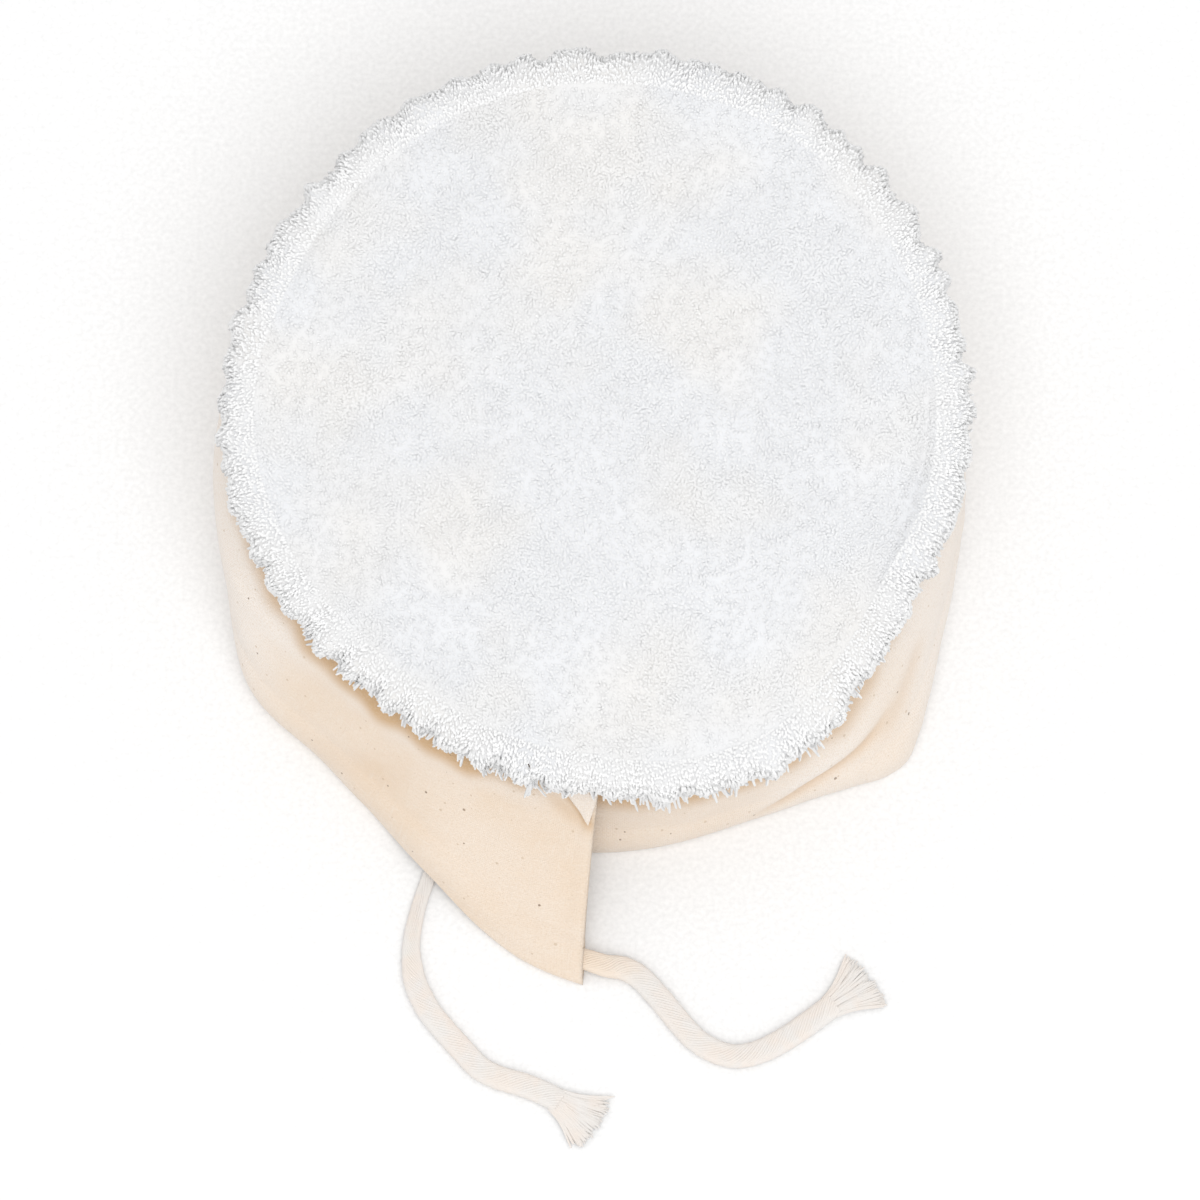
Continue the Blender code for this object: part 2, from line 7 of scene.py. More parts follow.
import json
from collections import namedtuple
from math import cos, pi, radians, sin, tau

import bpy
import numpy as np
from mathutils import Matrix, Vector


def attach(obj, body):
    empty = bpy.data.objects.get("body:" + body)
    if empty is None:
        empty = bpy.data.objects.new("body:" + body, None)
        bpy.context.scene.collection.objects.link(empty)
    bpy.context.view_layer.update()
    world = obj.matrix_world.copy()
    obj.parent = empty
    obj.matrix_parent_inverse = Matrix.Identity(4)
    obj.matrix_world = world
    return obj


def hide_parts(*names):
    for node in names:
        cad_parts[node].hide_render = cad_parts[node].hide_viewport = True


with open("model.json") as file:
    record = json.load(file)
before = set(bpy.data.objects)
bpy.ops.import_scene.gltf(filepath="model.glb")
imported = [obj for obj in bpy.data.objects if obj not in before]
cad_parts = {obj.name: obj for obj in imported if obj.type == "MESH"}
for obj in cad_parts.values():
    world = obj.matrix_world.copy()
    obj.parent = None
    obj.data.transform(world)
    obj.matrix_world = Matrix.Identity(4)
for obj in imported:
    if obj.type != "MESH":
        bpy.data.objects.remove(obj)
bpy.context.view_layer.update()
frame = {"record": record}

MM = 0.001
BODY = "root"
UP = np.array((0.0, 0.0, 1.0))
ACROSS = np.array((1.0, 0.0, 0.0))


def table(columns, *rows):
    """A short table: its rows, each with these named columns."""
    row_type = namedtuple("Row", columns)
    return [row_type(*row) for row in rows]


# The photograph's view
VIEW_ELEVATION = radians(75)
VIEW_DISTANCE = 6.0
VIEW_WIDTH = 294 * MM  # what the frame takes in at the aim
VIEW_AIM = Vector((1.8, -20.5, 25)) * MM

# Crown, as in the solid
CROWN_RADIUS = 92.5 * MM
SEAM_RADIUS = 86.45 * MM
SEAM_DROP = 0.2 * MM
SEAM_RECESS = 0.4 * MM
SEAT_RADIUS = 83.5 * MM
LINE_RADIUS = 83.5 * MM  # the stitched line round the face
LINE_WIDTH = 1.9 * MM
LINE_INWARD = 3.0 * MM  # how much further in it lies on the right
LINE_RIGHT = (-0.25, 0.42)  # middle and spread of these sides, in radians round
LINE_LEFT = (2.55, 0.45)
LINE_FRONT = (-1.7, 0.8)
LINE_DEPTHS = (0.15, 1.5, 0.5, 0.3)  # in millimetres: all round, and more on the right, left and front
GAP_REACH = 0.6 * MM
GAP_LENGTH = 8 * MM
GAP_LEFT = (2.55, 0.35)
GAP_LIMITS = (1.1, 0.9, 0.5)  # all round, and how much lower, so with more gaps, on the right and left
SWELL = 0.9 * MM
SWELL_ENDS = 12 * MM  # how far inside the stitched line the swell starts to fade

# The terry's woven ground, under its pile
GROUND = 5.0 * MM
GROUND_TONE = 0.9
LUMPS = 0.22 * MM
LUMP_LENGTH = 15 * MM
GROUND_SECTORS = 480
GROUND_RINGS = 56
SCALLOP = 1.1 * MM
SCALLOP_LENGTH = 8.0 * MM
SCALLOP_FADES = (86 * MM, 90 * MM)
DENT_DEPTH = 0.7 * MM
DENT_WIDTH = 9 * MM
DENTS = ((-41 * MM, 57 * MM), (54 * MM, -45 * MM))

# Pile
LOOP_SPACING = 0.99 * MM
LOOP_STRAY = 0.22 * LOOP_SPACING
LOOP_RISE = 0.62 * MM
LOOP_LEAN = 1.1 * MM
LOOP_WIDTH = 0.48 * MM
ROOT_DEPTH = 0.3 * MM  # how far each tuft starts inside the ground
TUFT_SIDES = 4
# the share of the tip's colour at a tuft's root; the rest is the lighter root colour, painted light that
# lifts the shade between the tufts
ROOT_LIGHTENED_TONE = 0.25
SOFT_SHADING = 0.6
RIM_SOFT_SHADING = 0.82
ROW_BEND = 3.2 * MM  # how far the rows of loops wander
ROW_LENGTH = 46 * MM
COMB_LENGTH = 26 * MM  # size of the patches that are combed one way
COMB_TURN = 2.6  # radians that the combing turns to each side
COMB_STRAY = 0.30
LOOP_UNEVEN = 0.16
WIDTH_UNEVEN = 0.12
PILE_SPLIT = 60 * MM  # the face's loops are two pieces, one inside the other
RIM_MIDDLE = 89 * MM
RIM_SPACING = 0.82 * MM
RIM_FIRST_ROW = 1.6 * MM  # along the rolled edge from its hidden inner side
RIM_STRAY = 0.35 * MM
RIM_LENGTH = 1.15  # of its tufts at the stitched line, in millimetres
RIM_LONGER = 0.3  # how much more from there out
LONGER_FADES = (0.55, 0.95)
HANG_LONGER = 0.1  # how much more where they hang, and most of it at the front
HANG_FRONT = 0.7
HANG_FADES = (0.25, 0.60)
PATCHY_LONGER = 0.15
RIM_FRONT = 0.9  # how far round the front reaches, in radians
RIM_RISE = 0.62
RIM_LEAN = 0.75
RIM_SPLIT = 0.52  # where the hanging pile's piece ends
RIM_CLUMP = 2.4 * MM
RIM_WIDTH = 0.44 * MM
FRINGE_RADIUS = 89.6 * MM
FRINGE_SPACING = 1.3 * MM
FRINGE_SHORT = 1.9 * MM
FRINGE_LONG = 4.9 * MM
FRINGE_FRONT = 0.95
LONG_LOCK_ANGLE = radians(-83)
LONG_LOCKS = 2
LINT_PLACE = (-16.6, -87.5, 5.6)
LINT_RADIUS = 0.16 * MM
LINT_SIDES = 6

# Skirt, as in the solid
CANVAS = 1.0 * MM
LAP_GAP = 0.9 * MM
FLAP_REACH = 44.5 * MM
FLAP_ANGLE = 270.8
FLAP_SLANT = 2.1
SLANT_ENDS = 25.0
STRIP_TURN = 373.0
LAP_BLEND = 40.0
SEAM_HANDLE = 0.32
FOOT_HANDLE = 0.40
FLAT_HANDLE = 0.62
LIE_FLATTENS = 0.75
BULGE_HIGH = 0.85
GATHER_DEPTH = 1.3 * MM
GATHERS = 13
GATHERED_FROM = (60, 100)
GATHERED_TO = (265, 300)
HEM_WIDTH = 12.0 * MM
HEM_ROOM = 3.0 * MM
HEM_FOLD = 1.3 * MM
HEM_ROUNDNESS = 0.7
ARCH_LIFT = 3.0 * MM
ARCH_TURN = 22.0
ARCH_WIDTH = 7.0

# What the skirt gets here
SKIRT_SECTIONS = 520
SKIRT_ROWS = 40
HEM_ROWS = 14
FINE_CURVE = 80
HEM_BLEND = 14 * MM  # how far above the hem its fullness fades out
EDGE_ROUND = 1.4 * MM
PUCKER_DEPTH = 0.45 * MM
PUCKERS = 58
END_FOLD = 2.7 * MM  # the strip's end is folded double this far
END_FOLD_RISE = 0.45 * MM
HEM_BLEND_RISE = 0.9 * MM
PALE_FROM = (46, 66)  # degrees round where the cloth turns paler
PALE_TO = (318, 345)  # and where most of that, PALE_LOST, is gone again
PALE_LOST = 0.75
PALE_CORNER = (317, 9)  # middle and spread of the browner right corner
CORNER_LOST = 0.6
CREST_LIGHT_AND_SHADE = 0.5  # painted highlight and shade of the folds: how much paler a ridge a millimetre high is, and how much browner a crease

# Cord, as in the solid
CORD_WIDTH = 6.0 * MM
CORD_DEPTH = 3.0 * MM
PINCH = 0.6
TIP_LENGTH = 12.5 * MM
TIP_SPREAD = radians(58)
STRANDS = 20
STRAND_RADIUS = 0.46 * MM
TWIST_PITCH = 21 * MM
STRAND_FLATTENS = 0.6  # under 1 the strands lie flatter over the cord's faces
STRAND_SIDES = 6
CORE_SIDES = 10
CORD_WARMTH = 0.8  # how much warmer the cotton is near the hem's mouths
WARM_FADES = (3 * MM, 22 * MM)  # along a free end from its start
CORD_STEP = 0.6 * MM
LOWEST = 0.05 * MM  # over the surface
YARNS = 170
YARN_RADIUS = 0.25 * MM
YARN_CURL = 0.35 * MM
YARN_STEPS = 12
YARN_STRAY = 0.04
YARN_TAPER = 0.35
YARN_SOFT = 0.45
YARN_OVERLAP = 1.5 * MM  # how far back inside the cord the yarns start
HEM_CORD_WIDTH = 5.2 * MM
HEM_CORD_DEPTH = 2.0 * MM
HEM_CORD_STEP = 4.0 * MM
INTO_MOUTH = 3.0 * MM  # how far the free ends carry on inside the hem

SKIRT = table(
    "turn reach bulge lie",
    (0.0, 1.00, 0.00, 0.75),
    (7.0, 0.89, 0.01, 0.72),
    (13.0, 0.76, 0.03, 0.65),
    (22.5, 0.545, 0.05, 0.50),
    (34.5, 0.335, 0.06, 0.30),
    (44.5, 0.275, 0.06, 0.15),
    (55.5, 0.315, 0.08, 0.15),
    (69.5, 0.15, 0.17, 0.0),
    (84.5, 0.03, 0.15, 0.0),
    (96.0, -0.02, 0.13, 0.0),
    (120.0, -0.10, 0.06, 0.0),
    (150.0, -0.16, 0.03, 0.0),
    (180.0, -0.18, 0.02, 0.0),
    (210.0, -0.16, 0.03, 0.0),
    (240.0, -0.09, 0.05, 0.0),
    (259.0, -0.02, 0.09, 0.0),
    (275.0, 0.03, 0.08, 0.0),
    (297.0, 0.15, 0.08, 0.0),
    (307.5, 0.30, 0.06, 0.1),
    (311.5, 0.38, 0.05, 0.2),
    (315.5, 0.435, 0.04, 0.25),
    (318.5, 0.41, 0.04, 0.2),
    (322.0, 0.345, 0.04, 0.1),
    (330.0, 0.25, 0.03, 0.1),
    (341.0, 0.205, 0.02, 0.1),
    (360.0, 0.22, -0.02, 0.1),
    (STRIP_TURN, 0.20, -0.03, 0.1),
)

# Creases and soft ridges in the canvas, each a line from one place of the strip to another. turn is in
# degrees round, down is a share of the way from the seam to the hem's fold, height is out of the cloth
# and width is half the fold's breadth, both in millimetres.
FOLDS = table(
    "turn down far_turn far_down height width",
    (316.0, 0.56, 335.0, 0.80, -1.1, 1.6),
    (314.0, 0.40, 333.0, 0.66, 0.8, 3.4),
    (303.0, 0.52, 316.0, 0.62, -0.5, 3.0),
    (8.0, 0.22, 22.0, 0.24, 0.7, 3.2),
    (22.0, 0.24, 44.0, 0.30, 0.9, 3.6),
    (44.0, 0.30, 72.0, 0.40, 0.8, 3.8),
    (2.0, 0.30, 8.0, 0.20, -0.7, 1.8),
    (30.0, 0.55, 44.0, 0.86, -0.35, 5.0),
    (60.0, 0.55, 74.0, 0.92, 0.4, 5.0),
    (342.0, 0.45, 352.0, 0.9, 0.3, 4.0),
)

# Painted shade close under the terry's edge, where it overhangs the cloth: the cloth is browner by this
# share, from the seam down to start and gone at end, in millimetres down the cloth
RIM_SHADE = table(
    "turn start end share",
    (0.0, 5.0, 10.0, 0.85),
    (13.0, 7.5, 13.0, 0.9),
    (38.0, 11.0, 16.5, 0.95),
    (50.0, 11.0, 16.0, 0.9),
    (62.0, 8.0, 14.0, 0.75),
    (84.0, 7.0, 13.0, 0.5),
    (100.0, 3.0, 10.0, 0.35),
    (290.0, 3.0, 10.0, 0.35),
    (318.0, 11.0, 18.0, 0.6),
    (335.0, 14.0, 21.0, 0.85),
    (STRIP_TURN, 15.0, 22.0, 1.0),
)
RIM_SHADE_WANDER = 1.1 * MM  # how far its lower edge wanders
RIM_SHADE_LENGTH = 17 * MM

# Painted shade in small pockets of the canvas beside the overlap, each a line like a fold's
SHADE_POCKETS = table(
    "turn down far_turn far_down width strength",
    (7.0, 0.08, 1.0, 0.30, 1.6, 0.8),
    (359.0, 0.06, 362.0, 0.16, 2.0, 0.75),
)

# The strip's folded upper corner: turn and share of the way down of the triangle's left, right and point
FOLDED_CORNER = ((7.4, 0.05), (-0.3, 0.10), (0.9, 0.30))
CORNER_CLOTH = 0.7 * MM
CORNER_PALE = 0.75
THREAD_SHADE = 0.4
CORNER_THREADS = 9
THREAD_RADIUS = 0.09 * MM
THREAD_SIDES = 5

# How far the crown's edge stands outside its circle, in millimetres, so many degrees round from +X
OUTLINE = table(
    "angle out",
    (0.0, 0.0),
    (50.0, 1.4),
    (90.0, 0.0),
    (150.0, -1.6),
    (180.0, 0.0),
    (206.0, -2.6),
    (232.0, -5.2),
    (252.0, -2.6),
    (268.0, -0.4),
    (284.0, 3.8),
    (298.0, 5.0),
    (313.0, 1.2),
    (331.0, -2.6),
    (348.0, -0.4),
    (360.0, 0.0),
)

# The crown's rolled edge under the pile, from its inner side round to the stitched line
RIM_GROUND = table(
    "radius up",
    (88.8, 0.4),
    (89.1, -1.1),
    (89.8, -1.7),
    (90.6, -1.0),
    (91.0, 0.6),
    (90.9, 2.6),
    (90.0, 4.2),
    (88.2, 5.0),
    (86.0, 5.3),
    (84.4, 5.2),
    (83.5, 5.05),
)

# Free ends of the cord: x and y in millimetres from the crown's middle, rise over the surface and size
CORD_COLUMNS = "x y rise share"
LEFT_CORD = table(
    CORD_COLUMNS,
    (-22.1, -91.4, 5.6, PINCH),
    (-26.5, -91.0, 4.4, PINCH),
    (-32.5, -92.6, 2.0, PINCH),
    (-37.8, -97.2, 0.4, PINCH),
    (-41.0, -104.4, 0.0, PINCH),
    (-43.4, -111.9, 0.0, 0.62),
    (-45.0, -120.3, 0.0, 0.72),
    (-44.7, -127.1, 0.0, 0.88),
    (-43.6, -131.7, 0.0, 0.97),
    (-40.7, -137.5, 0.0, 1.0),
    (-37.2, -142.1, 0.0, 1.0),
    (-32.3, -147.7, 0.0, 1.0),
    (-28.2, -152.0, 0.0, 1.0),
    (-24.0, -154.3, 0.0, 1.0),
    (-20.1, -155.5, 0.0, 1.0),
    (-16.2, -156.8, 0.0, 1.0),
    (-11.6, -158.8, 0.0, 1.0),
    (-8.6, -160.6, 0.0, 1.0),
)
RIGHT_CORD = table(
    CORD_COLUMNS,
    (-0.3, -125.6, 1.5, 0.90),
    (3.0, -126.5, 0.9, 0.95),
    (6.9, -126.9, 0.3, 1.0),
    (11.0, -129.2, 0.0, 1.0),
    (15.7, -134.3, 0.0, 1.0),
    (21.6, -141.6, 0.0, 1.0),
    (25.7, -145.7, 0.0, 1.0),
    (31.4, -148.6, 0.0, 1.0),
    (36.5, -148.9, 0.0, 1.0),
    (42.6, -146.9, 0.0, 1.0),
    (49.7, -142.6, 0.0, 1.0),
    (58.6, -135.9, 0.0, 1.0),
)

seat = frame["record"]["mounts"][0]
CROWN_MIDDLE = np.array(seat["pos_m"])
CROWN_NORMAL = -np.array(seat["axis"])
CROWN_BACK = np.array((0.0, CROWN_NORMAL[2], -CROWN_NORMAL[1]))


def unit(vectors):
    return vectors / np.maximum(np.linalg.norm(vectors, axis=-1, keepdims=True), 1e-12)


def fade(value, start, end):
    """0 before start, 1 after end, smooth between."""
    t = np.clip((value - start) / (end - start), 0.0, 1.0)
    return t * t * (3 - 2 * t)


def hump(value, middle, spread):
    """1 at the middle, falling smoothly to 0 past the spread."""
    return np.exp(-(((value - middle) / spread) ** 2))


def round_points(angle, radius, up):
    """Points so far round, out and up."""
    return np.stack(np.broadcast_arrays(radius * np.cos(angle), radius * np.sin(angle), up), axis=-1)


def waves(x, y, length, seed):
    """Smooth random waves about this long over a surface, mostly from -1 to 1."""
    rng = np.random.default_rng(seed)
    total = np.zeros(np.shape(x))
    for heading, size, start in rng.random((9, 3)):
        run = x * cos(tau * heading) + y * sin(tau * heading)
        total += np.cos(tau * (run / (length * (0.7 + 0.6 * size)) + start))
    return total / 3


def slopes(knots, values):
    """Slope at each knot of a smooth curve through the values, level at each peak and trough."""
    rates = np.diff(values) / np.diff(knots)
    result = np.zeros(len(values))
    result[0] = rates[0]
    result[-1] = rates[-1]
    for i in range(1, len(rates)):
        if rates[i - 1] * rates[i] > 0:
            result[i] = 2 * rates[i - 1] * rates[i] / (rates[i - 1] + rates[i])
    return result


def smooth_values(knots, values, at):
    """The smooth curve's values at these places."""
    slope = slopes(knots, values)
    i = np.clip(np.searchsorted(knots, at) - 1, 0, len(knots) - 2)
    span = knots[i + 1] - knots[i]
    t = np.clip((at - knots[i]) / span, 0.0, 1.0)
    start = values[i] * (1 + 2 * t) * (1 - t) ** 2 + slope[i] * span * t * (1 - t) ** 2
    return start + values[i + 1] * t * t * (3 - 2 * t) - slope[i + 1] * span * t * t * (1 - t)


def outline_shift(angle):
    """How far the crown's edge stands outside its circle, angle in radians round from +X."""
    knots = np.array([row.angle for row in OUTLINE])
    values = np.array([row.out * MM for row in OUTLINE])
    return smooth_values(knots, values, np.degrees(angle) % 360)


def crown_ways(local):
    """World directions from the crown's own tilted frame."""
    return local @ np.stack((ACROSS, CROWN_BACK, CROWN_NORMAL))


def from_crown(local):
    """World points from x, y and height over the crown's underside, drawn to its real outline."""
    radius = np.maximum(np.hypot(local[:, 0], local[:, 1]), MM)
    shift = outline_shift(np.arctan2(local[:, 1], local[:, 0])) * np.minimum(radius / SEAT_RADIUS, 1.0) ** 2
    drawn = local * np.stack((1 + shift / radius, 1 + shift / radius, np.ones(len(local))), axis=1)
    return CROWN_MIDDLE + crown_ways(drawn)


def new_piece(name, points, faces, finish):
    """A smooth mesh that rides with the object. faces is a list of arrays, a row of corners per face."""
    mesh = bpy.data.meshes.new(name)
    points = np.ascontiguousarray(points, np.float32).reshape(-1, 3)
    corners = np.concatenate([rows.ravel() for rows in faces]).astype(np.int32)
    sizes = np.concatenate([np.full(len(rows), rows.shape[1]) for rows in faces])
    mesh.vertices.add(len(points))
    mesh.vertices.foreach_set("co", points.ravel())
    mesh.loops.add(len(corners))
    mesh.loops.foreach_set("vertex_index", corners)
    mesh.polygons.add(len(sizes))
    mesh.polygons.foreach_set("loop_start", np.concatenate(([0], np.cumsum(sizes)[:-1])).astype(np.int32))
    mesh.update(calc_edges=True)
    mesh.materials.append(finish)
    mesh.shade_smooth()
    made = bpy.data.objects.new(name, mesh)
    bpy.context.scene.collection.objects.link(made)
    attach(made, BODY)
    return made


def set_values(piece, name, values):
    """One number for each point of a piece, for its material to read."""
    attribute = piece.data.attributes.new(name, "FLOAT", "POINT")
    attribute.data.foreach_set("value", np.ascontiguousarray(values, np.float32).ravel())


def set_cloth_map(piece, along, down):
    """The cloth's own coordinates in metres, one pair for each point."""
    layer = piece.data.uv_layers.new(name="cloth")
    corners = np.zeros(len(piece.data.loops), np.int32)
    piece.data.loops.foreach_get("vertex_index", corners)
    pairs = np.stack((np.ravel(along), np.ravel(down)), axis=1)[corners]
    layer.data.foreach_set("uv", pairs.astype(np.float32).ravel())


def soften(piece, wanted, share):
    """Turns a piece's shading this far towards the wanted ways, so that fine pile shades as one cloth."""
    own = np.zeros(3 * len(piece.data.vertices), np.float32)
    piece.data.vertex_normals.foreach_get("vector", own)
    mixed = unit((1 - share) * own.reshape(-1, 3) + share * wanted)
    piece.data.normals_split_custom_set_from_vertices(mixed.tolist())


def grid_faces(rows, columns, closed=False, first=0):
    """Quads of a grid of points, its columns joined round if closed."""
    numbers = first + np.arange(rows * columns).reshape(rows, columns)
    after = np.roll(numbers, -1, axis=1)
    if not closed:
        numbers, after = numbers[:, :-1], after[:, :-1]
    quads = np.stack((numbers[:-1], after[:-1], after[1:], numbers[1:]), axis=-1)
    return quads.reshape(-1, 4)


# Nodes of the materials


def add_node(tree, kind, inputs=None, **settings):
    made = tree.nodes.new(kind)
    for name, value in settings.items():
        setattr(made, name, value)
    for name, value in (inputs or {}).items():
        if isinstance(value, bpy.types.NodeSocket):
            tree.links.new(value, made.inputs[name])
        else:
            made.inputs[name].default_value = value
    return made


def calculate(tree, operation, *values):
    made = tree.nodes.new("ShaderNodeMath")
    made.operation = operation
    for socket, value in zip(made.inputs, values):
        if isinstance(value, bpy.types.NodeSocket):
            tree.links.new(value, socket)
        else:
            socket.default_value = value
    return made.outputs[0]


def blend_colours(tree, factor, first, second):
    made = tree.nodes.new("ShaderNodeMix")
    made.data_type = "RGBA"
    for name, value in (("Factor_Float", factor), ("A_Color", first), ("B_Color", second)):
        socket = next(s for s in made.inputs if s.identifier == name)
        if isinstance(value, bpy.types.NodeSocket):
            tree.links.new(value, socket)
        else:
            socket.default_value = value if name == "Factor_Float" else (*value, 1)
    return next(s for s in made.outputs if s.identifier == "Result_Color")


def remap(tree, value, low, high, new_low=0.0, new_high=1.0):
    made = add_node(
        tree,
        "ShaderNodeMapRange",
        {"Value": value, "From Min": low, "From Max": high, "To Min": new_low, "To Max": new_high},
    )
    return made.outputs["Result"]


def noise(tree, place, scale, detail=3.0):
    settings = {"Vector": place, "Scale": scale, "Detail": detail}
    return add_node(tree, "ShaderNodeTexNoise", settings).outputs["Fac"]


def point_value(tree, name):
    """What set_values wrote under this name."""
    return add_node(tree, "ShaderNodeAttribute", attribute_name=name).outputs["Fac"]


def object_place(tree):
    return tree.nodes.new("ShaderNodeTexCoord").outputs["Object"]


def cloth_place(tree, scale):
    place = add_node(tree, "ShaderNodeUVMap", uv_map="cloth").outputs["UV"]
    return add_node(tree, "ShaderNodeMapping", {"Vector": place, "Scale": scale}).outputs["Vector"]


def cloth_shader(name, roughness, sheen, specular):
    made = bpy.data.materials.new(name)
    made.use_nodes = True
    tree = made.node_tree
    shader = tree.nodes["Principled BSDF"]
    shader.inputs["Roughness"].default_value = roughness
    shader.inputs["Sheen Weight"].default_value = sheen
    shader.inputs["Sheen Roughness"].default_value = 0.5
    shader.inputs["Specular IOR Level"].default_value = specular
    return made, tree, shader


def finish_shader(tree, shader, colour, height, distance, strength):
    bump = add_node(
        tree, "ShaderNodeBump", {"Height": height, "Distance": distance, "Strength": strength}
    )
    tree.links.new(colour, shader.inputs["Base Color"])
    tree.links.new(bump.outputs["Normal"], shader.inputs["Normal"])


TERRY_COOL = (0.752, 0.76, 0.778)
TERRY_WARM = (0.777, 0.766, 0.753)
# The root colour is lighter than the tips: painted light that lifts the shade deep in the pile, and over the
# rolled edge, whose tufts take mostly this colour
TERRY_ROOT_PAINTED_LIGHT = (0.89, 0.89, 0.89)
RIM_LIGHTENED_TONE = 0.12
BACKING_DULL = (0.70, 0.68, 0.64)
BACKING_PALE = (0.80, 0.79, 0.76)
LINT_DARK = (0.10, 0.07, 0.05)


def terry_material():
    made, tree, shader = cloth_shader("terry", roughness=0.95, sheen=0.25, specular=0.15)
    place = object_place(tree)
    patches = remap(tree, noise(tree, place, 28.0, 2.0), 0.42, 0.62)
    colour = blend_colours(tree, patches, TERRY_COOL, TERRY_WARM)
    # Painted light: the deep parts of the tufts take the lighter root colour
    colour = blend_colours(tree, point_value(tree, "tone_and_painted_light"), TERRY_ROOT_PAINTED_LIGHT, colour)
    finish_shader(tree, shader, colour, noise(tree, place, 2600.0, 2.0), distance=0.0002, strength=0.35)
    return made


def backing_material():
    made, tree, shader = cloth_shader("terry_backing", roughness=0.95, sheen=0.1, specular=0.1)
    place = object_place(tree)
    ribs = add_node(tree, "ShaderNodeTexWave", {"Vector": place, "Scale": 420.0, "Distortion": 0.6})
    colour = blend_colours(tree, noise(tree, place, 60.0), BACKING_DULL, BACKING_PALE)
    finish_shader(tree, shader, colour, ribs.outputs["Fac"], distance=0.0003, strength=0.6)
    return made


CANVAS_PALE = (0.80, 0.685, 0.575)
CANVAS_WARM = (0.785, 0.65, 0.52)
CANVAS_SLUB = (0.83, 0.74, 0.645)
CANVAS_GRAIN = (0.70, 0.55, 0.40)
CANVAS_PALER_AND_HIGHLIGHT = (0.845, 0.775, 0.71)
# the colour of the painted shade under the terry's edge, in creases and in pockets
CANVAS_SHADED = (0.60, 0.39, 0.205)
FLECK_DARK = (0.16, 0.09, 0.045)
FLECK_FAINT = (0.50, 0.37, 0.24)
FAINT_FLECKS = (5.0 * MM, 0.65 * MM)  # how far apart they are and how large
DARK_FLECKS = (10 * MM, 0.62 * MM)
THREAD_PITCH = 0.46 * MM


def flecks(tree, cell, size):
    """Seed flecks: 1 on a few small round spots, 0 elsewhere."""
    place = cloth_place(tree, (1 / cell, 1 / cell, 1))
    cells = add_node(
        tree, "ShaderNodeTexVoronoi", {"Vector": place, "Scale": 1.0}, voronoi_dimensions="2D"
    )
    odds = add_node(tree, "ShaderNodeSeparateColor", {"Color": cells.outputs["Color"]}).outputs["Red"]
    reach = calculate(tree, "MULTIPLY", calculate(tree, "SUBTRACT", odds, 0.45), size / cell)
    return calculate(tree, "LESS_THAN", cells.outputs["Distance"], reach)


def weave_height(tree):
    """Plain weave: warp and weft threads that take turns on top."""
    place = cloth_place(tree, (1 / THREAD_PITCH, 1 / THREAD_PITCH, 1))
    parts = add_node(tree, "ShaderNodeSeparateXYZ", {"Vector": place}).outputs
    across, down = (
        calculate(tree, "ABSOLUTE", calculate(tree, "SINE", calculate(tree, "MULTIPLY", parts[axis], pi)))
        for axis in "XY"
    )
    cells = calculate(
        tree, "ADD", calculate(tree, "FLOOR", parts["X"]), calculate(tree, "FLOOR", parts["Y"])
    )
    on_top = calculate(tree, "PINGPONG", cells, 1.0)
    warp = calculate(tree, "MULTIPLY", across, on_top)
    weft = calculate(tree, "MULTIPLY", down, calculate(tree, "SUBTRACT", 1.0, on_top))
    return calculate(tree, "ADD", warp, weft)


def canvas_material():
    made, tree, shader = cloth_shader("canvas", roughness=0.9, sheen=0.35, specular=0.2)
    broad = noise(tree, cloth_place(tree, (1, 1, 1)), 45.0, 2.0)
    colour = blend_colours(tree, remap(tree, broad, 0.4, 0.62), CANVAS_PALE, CANVAS_WARM)
    slubs = noise(tree, cloth_place(tree, (1, 6, 1)), 240.0, 2.0)
    cross_slubs = noise(tree, cloth_place(tree, (6, 1, 1)), 240.0, 2.0)
    threads = calculate(tree, "MAXIMUM", slubs, cross_slubs)
    colour = blend_colours(tree, remap(tree, threads, 0.52, 0.78, 0.0, 0.5), colour, CANVAS_SLUB)
    # Paler cloth round the sides and back and on the folded corner, and painted highlight on the ridges of
    # the folds
    colour = blend_colours(tree, point_value(tree, "pale"), colour, CANVAS_PALER_AND_HIGHLIGHT)
    # Painted shade under the terry's edge, in creases and in the pockets beside the overlap
    colour = blend_colours(tree, point_value(tree, "shade"), colour, CANVAS_SHADED)
    faint = calculate(tree, "MULTIPLY", flecks(tree, *FAINT_FLECKS), 0.5)
    colour = blend_colours(tree, faint, colour, FLECK_FAINT)
    dark = calculate(tree, "MULTIPLY", flecks(tree, *DARK_FLECKS), 0.75)
    colour = blend_colours(tree, dark, colour, FLECK_DARK)
    grain = noise(tree, cloth_place(tree, (1, 1, 1)), 2100.0, 1.0)
    colour = blend_colours(tree, remap(tree, grain, 0.45, 0.75, 0.0, 0.4), colour, CANVAS_GRAIN)
    height = calculate(tree, "ADD", weave_height(tree), calculate(tree, "MULTIPLY", threads, 1.5))
    finish_shader(tree, shader, colour, height, distance=0.00012, strength=0.6)
    return made


COTTON_PALE = (0.765, 0.735, 0.705)
COTTON_PINK = (0.785, 0.72, 0.665)
COTTON_WARM = (0.80, 0.665, 0.53)


def cotton_material():
    made, tree, shader = cloth_shader("cotton_cord", roughness=0.85, sheen=0.3, specular=0.2)
    broad = noise(tree, object_place(tree), 160.0, 2.0)
    colour = blend_colours(tree, remap(tree, broad, 0.4, 0.65), COTTON_PALE, COTTON_PINK)
    colour = blend_colours(tree, point_value(tree, "warmth"), colour, COTTON_WARM)
    fibres = noise(tree, cloth_place(tree, (500, 5000, 1)), 1.0, 3.0)
    finish_shader(tree, shader, colour, fibres, distance=0.00015, strength=0.5)
    return made


